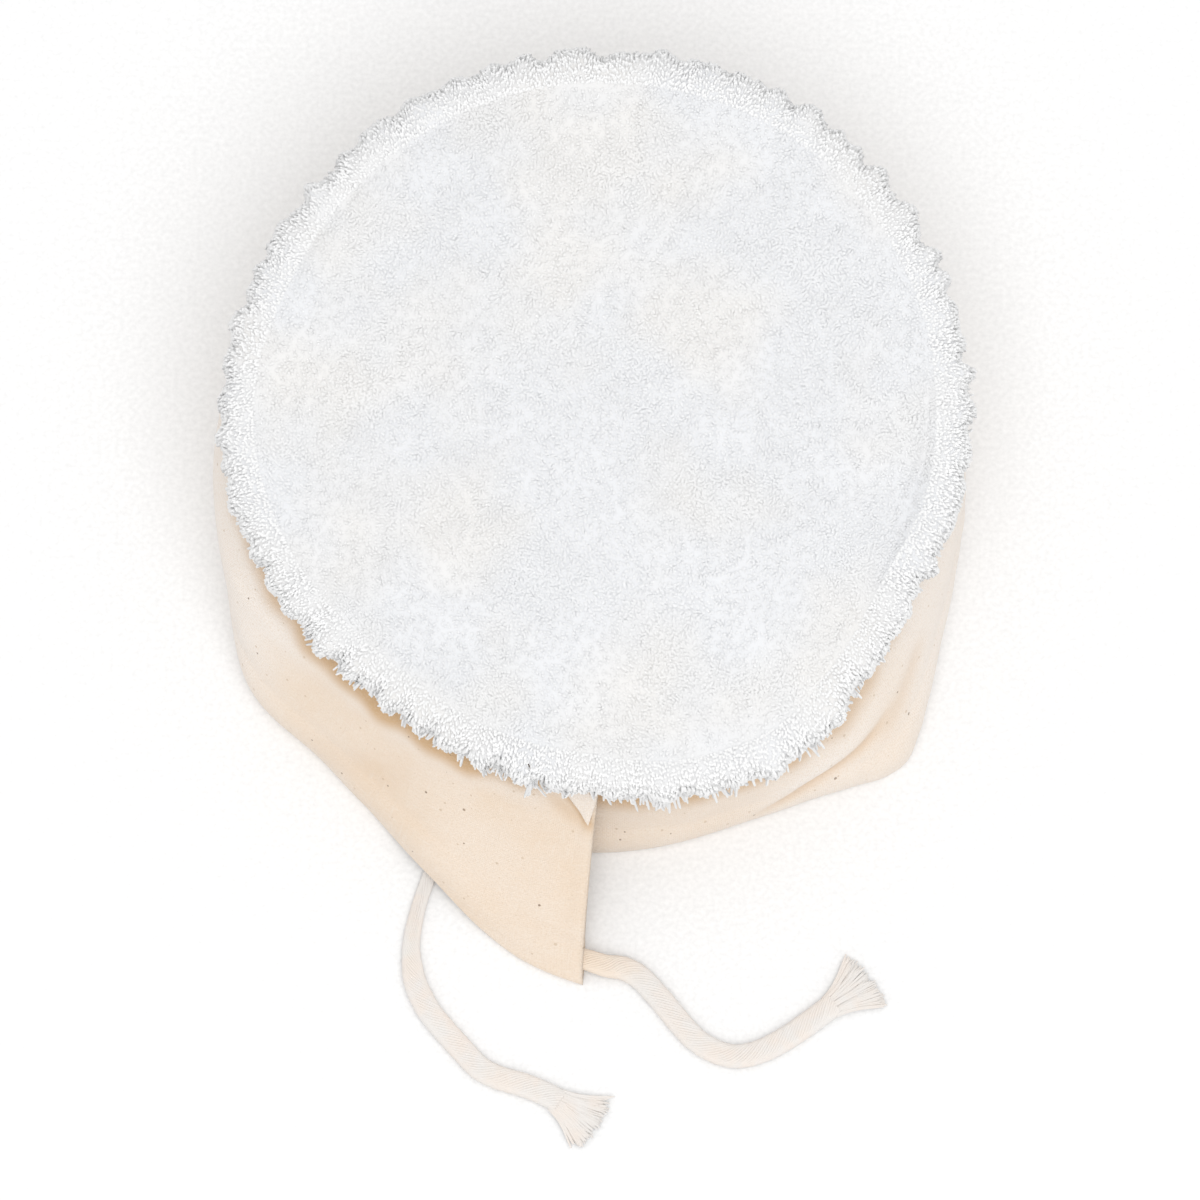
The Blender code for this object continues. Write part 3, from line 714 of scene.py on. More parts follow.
def plain_material(name, colour, roughness):
    made, tree, shader = cloth_shader(name, roughness, sheen=0.0, specular=0.2)
    mottle = noise(tree, object_place(tree), 900.0)
    darker = tuple(0.8 * c for c in colour)
    tree.links.new(blend_colours(tree, mottle, darker, colour), shader.inputs["Base Color"])
    return made


# Camera, light and floor


def make_camera():
    data = bpy.data.cameras.new("camera")
    data.sensor_width = 36
    data.lens = data.sensor_width * VIEW_DISTANCE / VIEW_WIDTH
    data.clip_end = 100
    camera = bpy.data.objects.new("camera", data)
    bpy.context.scene.collection.objects.link(camera)
    back = Vector((0, -cos(VIEW_ELEVATION), sin(VIEW_ELEVATION)))
    camera.location = VIEW_AIM + back * VIEW_DISTANCE
    camera.rotation_mode = "QUATERNION"
    camera.rotation_quaternion = (-back).to_track_quat("-Z", "Y")
    bpy.context.scene.camera = camera


SKY = 0.88
FLOOR_PALE = (0.96, 0.96, 0.96)
FLOOR_HALF = 10.0
FLOOR_BELOW = 0.1 * MM
KEY_POWER = 28.0
KEY_SIZE = 2.2
KEY_PLACE = Vector((0.2, -1.0, 2.3))


def make_light():
    scene = bpy.context.scene
    scene.view_settings.view_transform = "Standard"
    world = bpy.data.worlds.new("studio")
    world.use_nodes = True
    world.node_tree.nodes["Background"].inputs["Color"].default_value = (1, 1, 1, 1)
    world.node_tree.nodes["Background"].inputs["Strength"].default_value = SKY
    scene.world = world
    data = bpy.data.lights.new("key", "AREA")
    data.energy = KEY_POWER
    data.size = KEY_SIZE
    key = bpy.data.objects.new("key", data)
    key.visible_camera = False
    scene.collection.objects.link(key)
    key.location = KEY_PLACE
    key.rotation_mode = "QUATERNION"
    key.rotation_quaternion = (-KEY_PLACE).to_track_quat("-Z", "Y")


def make_floor():
    half = FLOOR_HALF
    mesh = bpy.data.meshes.new("floor")
    corners = [(x, y, -FLOOR_BELOW) for x, y in ((-half, -half), (half, -half), (half, half), (-half, half))]
    mesh.from_pydata(corners, [], [(0, 1, 2, 3)])
    mesh.materials.append(plain_material("floor", FLOOR_PALE, 0.9))
    floor = bpy.data.objects.new("floor", mesh)
    bpy.context.scene.collection.objects.link(floor)


# Cord


def spline_through(rows, steps):
    """Points on a smooth curve through the rows, this many steps between each two."""
    padded = np.vstack((2 * rows[0] - rows[1], rows, 2 * rows[-1] - rows[-2]))
    points = []
    for before, start, end, after in zip(padded, padded[1:], padded[2:], padded[3:]):
        for t in np.arange(steps) / steps:
            even = 2 * start + (end - before) * t
            bend = (2 * before - 5 * start + 4 * end - after) * t * t
            points.append((even + bend + (3 * start - before - 3 * end + after) * t**3) / 2)
    return np.array(points + [rows[-1]])


def even_steps(line, step):
    """The line's rows again, evenly spaced along it; the first three columns are its place."""
    run = np.concatenate(([0.0], np.cumsum(np.linalg.norm(np.diff(line[:, :3], axis=0), axis=1))))
    places = np.linspace(0, run[-1], int(round(run[-1] / step)) + 1)
    return np.stack([np.interp(places, run, column) for column in line.T], axis=1), places


def route(chosen, before=None):
    """Rows of x, y, z and share along a free end, from a place inside the hem if one is given."""
    rows = [
        (
            CROWN_MIDDLE[0] + p.x * MM,
            CROWN_MIDDLE[1] + p.y * MM,
            p.rise * MM + p.share * CORD_DEPTH / 2,
            p.share,
        )
        for p in chosen
    ]
    if before is not None:
        rows.insert(0, (*before, chosen[0].share))
    path, places = even_steps(spline_through(np.array(rows), 12), CORD_STEP)
    path[:, 2] = np.maximum(path[:, 2], path[:, 3] * CORD_DEPTH / 2)
    return path, places


def cross_axes(lines):
    """Sideways and upward directions across each line of an array of lines by points by three."""
    ahead = unit(np.gradient(lines, axis=1))
    side = unit(np.cross(np.broadcast_to(UP, ahead.shape), ahead))
    return side, np.cross(ahead, side)


def tube_points(lines, radius, sides):
    """Rings round each line of lines, an array of lines by points by three, and their faces."""
    count, steps, _ = lines.shape
    side, over = cross_axes(lines)
    angles = tau * np.arange(sides) / sides
    radius = np.broadcast_to(radius, (count, steps))[..., None, None]
    ring = side[:, :, None] * np.cos(angles)[:, None] + over[:, :, None] * np.sin(angles)[:, None]
    points = lines[:, :, None] + ring * radius
    faces = [grid_faces(steps, sides, True, i * steps * sides) for i in range(count)]
    return points, np.concatenate(faces)


def tube_caps(count, steps, sides, first=0):
    """Faces that close both ends of each of so many tubes."""
    start = first + np.arange(count)[:, None] * steps * sides + np.arange(sides)
    return [start[:, ::-1], start + (steps - 1) * sides]


def on_both(first, first_points, second, second_points):
    """Values for the points of two parts in a row, each spread over its part's own grid."""
    spread = [
        np.broadcast_to(values, points.shape[:-1]).ravel()
        for values, points in ((first, first_points), (second, second_points))
    ]
    return np.concatenate(spread)


def cord_mesh(name, line, share, places, width, depth, axes, warmth, node, finish):
    """A flat, loosely twisted cord: its strands wind round a plain core."""
    side, over = axes
    half_width = width / 2 - STRAND_RADIUS
    half_depth = depth / 2 - STRAND_RADIUS
    turns = tau * np.arange(STRANDS)[:, None] / STRANDS - tau * places[None] / TWIST_PITCH
    flat = np.cos(turns) * (share * half_width)
    lift = np.sign(np.sin(turns)) * np.abs(np.sin(turns)) ** STRAND_FLATTENS * (share * half_depth)
    strands = line + side * flat[..., None] + over * lift[..., None]
    rng = np.random.default_rng(len(line))
    uneven = 1 + 0.08 * rng.standard_normal((STRANDS, 1))
    points, faces = tube_points(strands, STRAND_RADIUS * share * uneven, STRAND_SIDES)
    angles = tau * np.arange(CORE_SIDES) / CORE_SIDES
    flat = (np.cos(angles) * half_width)[:, None] * share[:, None, None]
    lift = (np.sin(angles) * half_depth)[:, None] * share[:, None, None]
    core = line[:, None] + side[:, None] * flat + over[:, None] * lift
    first = points.size // 3
    core_faces = [grid_faces(len(line), CORE_SIDES, True, first)] + tube_caps(1, len(line), CORE_SIDES, first)
    everything = np.concatenate((points.reshape(-1, 3), core.reshape(-1, 3)))
    everything[:, 2] = np.maximum(everything[:, 2], LOWEST)
    piece = new_piece(name, everything, [faces] + core_faces, finish)
    run = on_both(places[None, :, None], points, places[:, None], core)
    strand_round = np.arange(STRAND_SIDES) * 0.4 * MM + np.arange(STRANDS)[:, None, None] * 9 * MM
    set_cloth_map(piece, run, on_both(strand_round, points, angles * 2 * MM, core))
    set_values(piece, "warmth", warmth(run))
    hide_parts(node)
    return piece


def make_cord(side_name, chosen, before, seed, finish):
    path, places = route(chosen, before)
    line, share = path[:, :3], path[:, 3]
    axes = [part[0] for part in cross_axes(line[None])]
    piece = cord_mesh(
        "cord_" + side_name,
        line,
        share,
        places,
        CORD_WIDTH,
        CORD_DEPTH,
        axes,
        lambda run: CORD_WARMTH * (1 - fade(run, *WARM_FADES)),
        "drawstring_end_" + side_name,
        finish,
    )
    tip = make_fray("fray_" + side_name, path, "frayed_tip_" + side_name, seed, finish)


def make_fray(name, path, node, seed, finish):
    """The cord's frayed end: yarns that fan out over the surface from where its strands stop."""
    rng = np.random.default_rng(seed)
    ahead = unit(unit(path[-1, :3] - path[-4, :3]) * (1, 1, 0))
    side = np.cross(UP, ahead)
    steps = YARN_STEPS
    t = np.linspace(0, 1, steps)[None, :]
    out = np.linspace(-1, 1, YARNS) + YARN_STRAY * rng.standard_normal(YARNS)
    out = np.clip(out, -1.05, 1.05)
    high = (2 * rng.random(YARNS) - 1) * np.sqrt(np.clip(1 - 0.8 * out * out, 0, 1))
    # The yarns gather in a few locks towards their ends
    lock = 0.06 * np.sin(out * 11 + seed)
    heading = (out + lock)[:, None] * (TIP_SPREAD / 2) * (0.35 + 0.65 * fade(t, 0.0, 0.8))
    heading = heading + YARN_STRAY * rng.standard_normal((YARNS, 1))
    length = TIP_LENGTH * (0.90 + 0.12 * rng.random(YARNS) + 0.05 * np.sin(out * 17 + seed))
    step = (length / (steps - 1))[:, None]
    forward = np.cumsum(np.cos(heading) * step, axis=1) - step
    sideways = np.cumsum(np.sin(heading) * step, axis=1) - np.sin(heading[:, :1]) * step
    begin_out = out * (CORD_WIDTH / 2 - YARN_RADIUS)
    begin_up = CORD_DEPTH / 2 + high * (CORD_DEPTH / 2 - YARN_RADIUS) * 0.95
    curl = YARN_CURL * rng.standard_normal((YARNS, 1)) * t**2
    flat = begin_out[:, None] + sideways + curl
    low = YARN_RADIUS + (0.35 + 0.9 * (high[:, None] + 1) / 2) * MM
    up = begin_up[:, None] + (low - begin_up[:, None]) * fade(t, 0.1, 0.9)
    ground = path[-1, :3] * (1, 1, 0) - ahead * YARN_OVERLAP
    lines = ground + ahead * forward[..., None] + side * flat[..., None] + UP * up[..., None]
    radius = YARN_RADIUS * (1 + 0.2 * rng.random((YARNS, 1))) * (1 - YARN_TAPER * t**3)
    points, faces = tube_points(lines, radius, STRAND_SIDES)
    points[..., 2] = np.maximum(points[..., 2], LOWEST)
    piece = new_piece(name, points, [faces] + tube_caps(YARNS, steps, STRAND_SIDES), finish)
    around = np.arange(STRAND_SIDES) * 0.3 * MM + np.arange(YARNS)[:, None, None] * 3 * MM
    along = np.broadcast_to((t * TIP_LENGTH)[..., None], points.shape[:3])
    set_cloth_map(piece, along, np.broadcast_to(around, points.shape[:3]))
    set_values(piece, "warmth", np.zeros(points.size // 3))
    soften(piece, UP, YARN_SOFT)
    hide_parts(node)
    return piece


def make_hem_cord(line, low, finish):
    """The stretch of the cord inside the hem, seen only at its two mouths."""
    rows, places = even_steps(np.column_stack((line, low)), HEM_CORD_STEP)
    line, low = rows[:, :3], unit(rows[:, 3:])
    ahead = unit(np.gradient(line, axis=0))
    over = unit(np.cross(ahead, low))
    cord_mesh(
        "cord_in_hem",
        line,
        np.ones(len(line)),
        places,
        HEM_CORD_WIDTH,
        HEM_CORD_DEPTH,
        (low, over),
        lambda run: np.full(run.shape, CORD_WARMTH),
        "drawstring_in_hem",
        finish,
    )


# Skirt


def skirt_values(name, turns):
    """One column of SKIRT, smooth between its rows."""
    knots = np.array([row.turn for row in SKIRT])
    values = np.array([getattr(row, name) for row in SKIRT])
    return smooth_values(knots, values, turns)


def skirt_curves(turns):
    """Lines down the middle of the canvas from the seam to the fold, one for each turn."""
    lap = STRIP_TURN - 360
    layer = 1 - fade(turns, lap, lap + LAP_BLEND) - fade(turns, 360 - lap - LAP_BLEND, 360 - lap)
    seam_radius = SEAM_RADIUS + layer * (CANVAS + LAP_GAP) / 2
    seam_angle = np.radians(FLAP_ANGLE - turns)
    hem_angle = seam_angle - np.radians(FLAP_SLANT * (1 - fade(turns, 0, SLANT_ENDS)))
    outward = np.stack((np.cos(hem_angle), np.sin(hem_angle), np.zeros(len(turns))), axis=1)
    reach = (skirt_values("reach", turns) * FLAP_REACH)[:, None]
    bulge = (skirt_values("bulge", turns) * FLAP_REACH)[:, None]
    lie = skirt_values("lie", turns)[:, None]
    radial = np.stack((seam_radius * np.cos(seam_angle), seam_radius * np.sin(seam_angle)), axis=1)
    seam = from_crown(np.column_stack((radial, np.full(len(turns), -SEAM_DROP))))
    foot = CROWN_MIDDLE * (1, 1, 0) + outward * (SEAM_RADIUS + reach)
    drop = seam[:, 2:3]
    from_seam = seam - CROWN_NORMAL * (SEAM_HANDLE * drop)
    from_foot = foot + UP * (FOOT_HANDLE * drop * (1 - LIE_FLATTENS * lie))
    from_foot = from_foot - outward * (FLAT_HANDLE * lie * reach)
    gathered = fade(turns, *GATHERED_FROM) * (1 - fade(turns, *GATHERED_TO))
    way = np.radians(turns)
    ripple = (GATHER_DEPTH * gathered * np.cos(way * GATHERS))[:, None]
    pucker = (PUCKER_DEPTH * gathered * np.cos(way * PUCKERS + 1.7 * np.sin(way * 5)))[:, None]
    t = np.linspace(0, 1, FINE_CURVE + 1)[None, :]
    sway = bulge * np.sin(pi * t**BULGE_HIGH) ** 2 + ripple * t * t + pucker * t**6
    parts = ((1 - t) ** 3, 3 * t * (1 - t) ** 2, 3 * t * t * (1 - t), t**3)
    places = (seam, from_seam, from_foot, foot)
    line = sum(place[:, None] * part[..., None] for place, part in zip(places, parts))
    return line + outward[:, None] * sway[..., None]


def strip_run(turns):
    """How far along the strip these turns are, in metres."""
    return turns * radians(1) * SEAM_RADIUS


def beside(row, turns, down, length):
    """How far each place of the strip is from the start of a row's line, and that line's own run."""
    start = np.array((strip_run(row.turn), row.down * length))
    run = np.array((strip_run(row.far_turn), row.far_down * length)) - start
    return strip_run(turns)[:, None] - start[0], down * length - start[1], run


def fold_heights(turns, down, length):
    """How far the creases and ridges lift the cloth at each place."""
    total = np.zeros(down.shape)
    for fold in FOLDS:
        x, y, run = beside(fold, turns, down, length)
        t = (x * run[0] + y * run[1]) / (run @ run)
        away = (x * run[1] - y * run[0]) / np.linalg.norm(run)
        ends = fade(t, -0.25, 0.2) * (1 - fade(t, 0.8, 1.25))
        total += fold.height * MM * hump(away, 0, fold.width * MM) * ends
    return total


def hollow_half(above):
    """Half the width of the hem's hollow, this far above the fold."""
    inside = np.clip((above - HEM_FOLD) / (HEM_WIDTH - HEM_FOLD), 0, 1)
    return HEM_ROOM / 2 * np.sin(pi * inside) ** HEM_ROUNDNESS


def skirt_shape():
    """The strip's finished cloth: every layer's points, with the hem's hollow and where the cord runs."""
    turns = np.linspace(0, STRIP_TURN, SKIRT_SECTIONS)
    curves = skirt_curves(turns)
    steps = np.linalg.norm(np.diff(curves, axis=1), axis=2)
    run = np.concatenate((np.zeros((len(turns), 1)), np.cumsum(steps, axis=1)), axis=1)
    length = run[:, -1]
    wall = np.linspace(1, 0, SKIRT_ROWS, endpoint=False)
    hem = np.linspace(HEM_WIDTH, EDGE_ROUND, HEM_ROWS)
    edge = EDGE_ROUND * np.array((0.6, 0.3, 0.1, 0.0))
    above = np.array([np.concatenate((HEM_WIDTH + (size - HEM_WIDTH) * wall, hem, edge)) for size in length])
    middle = np.array(
        [
            [np.interp(size - rows, places, column) for column in line.T]
            for size, rows, places, line in zip(length, above, run, curves)
        ]
    ).transpose(0, 2, 1)
    outward = outward_of(middle)
    down = 1 - above / length[:, None]
    middle = middle + outward * fold_heights(turns, down, float(np.median(length)))[..., None]
    at_end = (1 - fade(strip_run(turns), END_FOLD * 0.8, END_FOLD * 1.05))[:, None]
    lapped = fade(above, 0, HEM_WIDTH)
    full = hollow_half(above)
    # The hem's fullness runs out into the wall above it
    blended = HEM_BLEND_RISE * (1 - fade(above, HEM_WIDTH * 0.5, HEM_WIDTH + HEM_BLEND))
    round_off = np.maximum(np.sqrt(np.clip(1 - (1 - np.clip(above / EDGE_ROUND, 0, 1)) ** 2, 0, 1)), 0.02)
    in_hem = above < HEM_WIDTH - 1e-9
    wall_half = CANVAS / 2 + blended
    outer_half = np.where(in_hem, np.maximum(CANVAS + full, wall_half), wall_half) * round_off
    outer_half = outer_half + END_FOLD_RISE * at_end * lapped
    inner_half = np.where(in_hem, CANVAS + full, CANVAS / 2 + 0.5 * full) * round_off
    outer = middle + outward * outer_half[..., None]
    inner = middle - outward * inner_half[..., None]
    hollow = slice(SKIRT_ROWS, SKIRT_ROWS + HEM_ROWS)
    hollow_out = (middle + outward * full[..., None])[:, hollow].copy()
    hollow_in = (middle - outward * full[..., None])[:, hollow].copy()
    settle(turns, [outer, inner], [hollow_out, hollow_in])
    return turns, length, above, outer, inner, hollow_out, hollow_in


def cord_line(hollow_out, hollow_in):
    """The middle of the hem's hollow all along the strip, and the direction down across it."""
    middle = (hollow_out + hollow_in) / 2
    low = unit(middle[:, -2] - middle[:, 1])
    line = middle[:, 2:-1].mean(axis=1)
    return line, low


def outward_of(middle):
    """Directions out of the cloth at each of its points."""
    along = unit(np.gradient(middle, axis=0))
    down = unit(np.gradient(middle, axis=1))
    outward = unit(np.cross(along, down))
    if np.sum(outward * (middle - CROWN_MIDDLE)) < 0:
        outward = -outward
    return outward


def settle(turns, faces, others):
    """Moves each section so that its lowest point rests on the surface, or on the cord under the flap."""
    wanted = ARCH_LIFT * hump(turns, ARCH_TURN, ARCH_WIDTH)
    top = faces[0][:, 0, 2]
    low = np.min([face[:, :, 2].min(axis=1) for face in faces], axis=0)
    for layer in faces + others:
        share = np.clip((top[:, None] - layer[:, :, 2]) / (top - low)[:, None], 0, 1)
        layer[:, :, 2] += (wanted - low)[:, None] * share


def pocket_shade(turns, down, length):
    """How much brown painted shade the cloth gets in the small pockets beside the overlap."""
    total = np.zeros(down.shape)
    for pocket in SHADE_POCKETS:
        x, y, run = beside(pocket, turns, down, length)
        t = np.clip((x * run[0] + y * run[1]) / (run @ run), 0, 1)
        away = np.hypot(x - t * run[0], y - t * run[1])
        total = np.maximum(total, pocket.strength * hump(away, 0, pocket.width * MM))
    return total


def cloth_places(shape, turn, down, lift):
    """Points this far out of the strip's outer face."""
    turns, length, above, outer, inner = shape[:5]
    whole = np.interp(turn, turns, length)
    section = np.clip(np.interp(turn, turns, np.arange(len(turns))), 0, len(turns) - 1.001)
    first = section.astype(int)
    part = (section - first)[:, None]

    def at_height(i, line, wanted):
        return [np.interp(wanted, above[i][::-1], column[::-1]) for column in line.T]

    places = []
    for layer in (outer, inner):
        found = [
            [at_height(i, line, wanted) for line in layer[i : i + 2]]
            for i, wanted in zip(first, (1 - down) * whole)
        ]
        found = np.array(found)
        places.append(found[:, 0] * (1 - part) + found[:, 1] * part)
    return places[0] + unit(places[0] - places[1]) * np.reshape(lift, (-1, 1))


def make_flap_corner(shape, finish):
    """The strip's upper corner, folded over into a small triangle, with a few loose threads."""
    steps = 14
    corners = np.array(FOLDED_CORNER)
    across, fall = (grid.ravel() for grid in np.meshgrid(np.linspace(0, 1, steps), np.linspace(0, 1, steps)))
    # The rows run from the triangle's top edge to its point
    left = corners[0] + (corners[2] - corners[0]) * fall[:, None]
    right = corners[1] + (corners[2] - corners[1]) * fall[:, None]
    spots = left + (right - left) * across[:, None]
    curl = (1 - across) ** 2 * (1 - fall)
    lift = (0.25 + 0.9 * curl + 0.35 * np.sin(pi * across) * (1 - fall)) * MM
    top = cloth_places(shape, spots[:, 0], spots[:, 1], lift + CORNER_CLOTH)
    low = cloth_places(shape, spots[:, 0], spots[:, 1], lift)
    count = steps * steps
    sheet = grid_faces(steps, steps)
    numbers = np.arange(count).reshape(steps, steps)
    rim = np.concatenate((numbers[0], numbers[1:, -1], numbers[-1, -2::-1], numbers[-2:0:-1, 0]))
    after = np.roll(rim, -1)
    wall = np.stack((rim, after, after + count, rim + count), axis=1)
    rng = np.random.default_rng(53)
    thread_steps = 7
    threads = []
    for _ in range(CORNER_THREADS):
        start = top[int(rng.integers(steps // 2, steps))]
        way = unit(np.array((0.8 + 0.5 * rng.random(), -0.2 + 0.9 * rng.standard_normal(), 0.5)))
        t = np.linspace(0, 1, thread_steps)[:, None]
        bend = np.array((0.2, 0.3, -0.5)) * rng.standard_normal() * MM
        threads.append(start + way * t * (1.2 + 1.4 * rng.random()) * MM + bend * t * t)
    points, faces = tube_points(np.array(threads), THREAD_RADIUS, THREAD_SIDES)
    ends = tube_caps(CORNER_THREADS, thread_steps, THREAD_SIDES, 2 * count)
    everything = np.concatenate((top, low, points.reshape(-1, 3)))
    sheets = [sheet[:, ::-1], sheet + count, wall, faces + 2 * count] + ends
    piece = new_piece("flap_corner", everything, sheets, finish)
    along = strip_run(spots[:, 0])
    fall_run = spots[:, 1] * shape[1][0]
    extra = np.zeros(points.size // 3)
    set_cloth_map(piece, np.concatenate((along, along, extra)), np.concatenate((fall_run, fall_run, extra)))
    set_values(piece, "pale", np.full(len(everything), CORNER_PALE))
    set_values(piece, "shade", np.concatenate((np.zeros(2 * count), np.full(len(extra), THREAD_SHADE))))
    return piece


def make_skirt(shape, finish):
    """The whole strip as one closed cloth, with the hem's hollow open at both ends."""
    turns, length, above, outer, inner, hollow_out, hollow_in = shape
    skin = np.concatenate((outer, inner[:, ::-1]), axis=1)
    lining = np.concatenate((hollow_out, hollow_in[:, -2:0:-1]), axis=1)
    rows = outer.shape[1]
    sections = len(turns)
    start = SKIRT_ROWS
    stop = SKIRT_ROWS + HEM_ROWS
    skin_faces = grid_faces(sections, 2 * rows, True)[:, ::-1]
    lining_first = skin.size // 3
    lining_faces = grid_faces(sections, lining.shape[1], True, lining_first)
    ends = []
    for section in (0, sections - 1):
        base = section * 2 * rows
        out = base + np.arange(rows)
        back = base + 2 * rows - 1 - np.arange(rows)
        hollow = lining_first + section * lining.shape[1]
        wall_out = hollow + np.arange(HEM_ROWS)
        wall_in = lining.shape[1] - np.arange(1, HEM_ROWS - 1)
        wall_in = hollow + np.concatenate(([0], wall_in, [HEM_ROWS - 1]))
        cap = []
        for i in range(rows - 1):
            if start <= i < stop - 1:
                cap.append((out[i], out[i + 1], wall_out[i + 1 - start], wall_out[i - start]))
                cap.append((back[i + 1], back[i], wall_in[i - start], wall_in[i + 1 - start]))
            else:
                cap.append((out[i], out[i + 1], back[i + 1], back[i]))
        cap.append((out[start], wall_out[0], back[start]))
        cap.append((back[stop - 1], wall_out[-1], out[stop - 1]))
        ends += cap if section == 0 else [face[::-1] for face in cap]
    quads = [face for face in ends if len(face) == 4]
    triangles = [face for face in ends if len(face) == 3]
    points = np.concatenate((skin.reshape(-1, 3), lining.reshape(-1, 3)))
    faces = [skin_faces, lining_faces, np.array(quads), np.array(triangles)]
    piece = new_piece("canvas_skirt_cloth", points, faces, finish)
    run = strip_run(turns)[:, None]
    fall = length[:, None] - above
    skin_fall = np.concatenate((fall, 2 * length[:, None] - fall[:, ::-1]), axis=1)
    set_cloth_map(
        piece,
        on_both(run, skin, run, lining),
        on_both(skin_fall, skin, np.linspace(0.20, 0.22, lining.shape[1]), lining),
    )
    down = 1 - above / length[:, None]
    typical = float(np.median(length))
    # Painted highlight on the ridges of the folds, and painted shade in their creases
    fold_light_and_shade = CREST_LIGHT_AND_SHADE * fold_heights(turns, down, typical) / MM
    pocket_and_crease_shade = np.maximum(pocket_shade(turns, down, typical), np.clip(-fold_light_and_shade, 0, 1))
    knots, *columns = zip(*RIM_SHADE)
    full_to, gone_at, share = (np.interp(turns, knots, column)[:, None] for column in columns)
    # Painted shade under the terry's overhanging edge, together with the painted shade of pockets and creases
    depth = (fall + RIM_SHADE_WANDER * waves(run, 0 * run, RIM_SHADE_LENGTH, 61)) / MM
    shade = np.maximum(share * (1 - fade(depth, full_to, gone_at)), pocket_and_crease_shade)
    set_values(piece, "shade", on_both(np.concatenate((shade, 0 * shade), axis=1), skin, 0, lining))
    pale = fade(turns, *PALE_FROM) * (1 - PALE_LOST * fade(turns, *PALE_TO))
    pale = (pale * (1 - CORNER_LOST * hump(turns, *PALE_CORNER)))[:, None]
    ridge_highlight = np.concatenate((np.clip(fold_light_and_shade, 0, 1), 0 * fold_light_and_shade), axis=1)
    set_values(piece, "pale", np.clip(on_both(pale + ridge_highlight, skin, pale, lining), 0, 1))
    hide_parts("canvas_skirt")
    return piece


# Crown


def face_swell(x, y):
    """Shallow waves over the terry face, from -1 to 1."""
    u = x / CROWN_RADIUS
    v = y / CROWN_RADIUS
    return (np.sin(3.1 * u + 1.7 * v + 0.6) + np.sin(2.3 * u - 3.9 * v) + np.cos(4.6 * u + 2.9 * v)) / 3


def line_right(angle):
    """1 where the stitched line shows most, on the right, and 0 away from there."""
    return hump(angle, *LINE_RIGHT)


def drawn_in(angle, radius):
    """How deep the stitched line draws the terry in: most on the right, hardly at all at the back."""
    right = line_right(angle)
    all_round, on_right, on_left, in_front = LINE_DEPTHS
    depth = all_round + on_right * right + on_left * hump(angle, *LINE_LEFT)
    depth = (depth + in_front * hump(angle, *LINE_FRONT)) * MM
    return depth * hump(radius + LINE_INWARD * right, LINE_RADIUS, LINE_WIDTH)


def line_gaps(x, y):
    """True at a few short gaps in the pile, along the stitched line at the right and left."""
    radius = np.hypot(x, y)
    angle = np.arctan2(y, x)
    right = line_right(angle)
    near = np.abs(radius - LINE_RADIUS + LINE_INWARD * right) < GAP_REACH
    all_round, on_right, on_left = GAP_LIMITS
    limit = all_round - on_right * right - on_left * hump(angle, *GAP_LEFT)
    return near & (waves(radius * angle, 0 * x, GAP_LENGTH, 27) > limit)


def ground_height(x, y):
    """Height of the terry's ground over the crown's underside, inside the stitched line."""
    radius = np.hypot(x, y)
    angle = np.arctan2(y, x)
    inside = 1 - fade(radius, LINE_RADIUS - SWELL_ENDS, LINE_RADIUS)
    height = GROUND + (SWELL * face_swell(x, y) + LUMPS * waves(x, y, LUMP_LENGTH, 11)) * inside
    for dent_x, dent_y in DENTS:
        away = ((x - dent_x) ** 2 + (y - dent_y) ** 2) / DENT_WIDTH**2
        height = height - DENT_DEPTH * np.exp(-away)
    return height - drawn_in(angle, radius)


def rim_line():
    """The rolled edge as rows of radius and height from its inner side to the stitched line."""
    rows = np.array([(row.radius * MM, row.up * MM, 0.0) for row in RIM_GROUND])
    line, _ = even_steps(spline_through(rows, 8), 0.6 * MM)
    return line[:, :2]


def rim_places(angle, radius, up):
    """Points of the rolled edge in the crown's frame, with its scallops and the drawn-in line."""
    outer = fade(radius, *SCALLOP_FADES)
    x = np.cos(angle) * CROWN_RADIUS
    y = np.sin(angle) * CROWN_RADIUS
    drawn = drawn_in(angle, radius) * (up > 2 * MM)
    return round_points(angle, radius + SCALLOP * outer * waves(x, y, SCALLOP_LENGTH, 5), up - drawn)


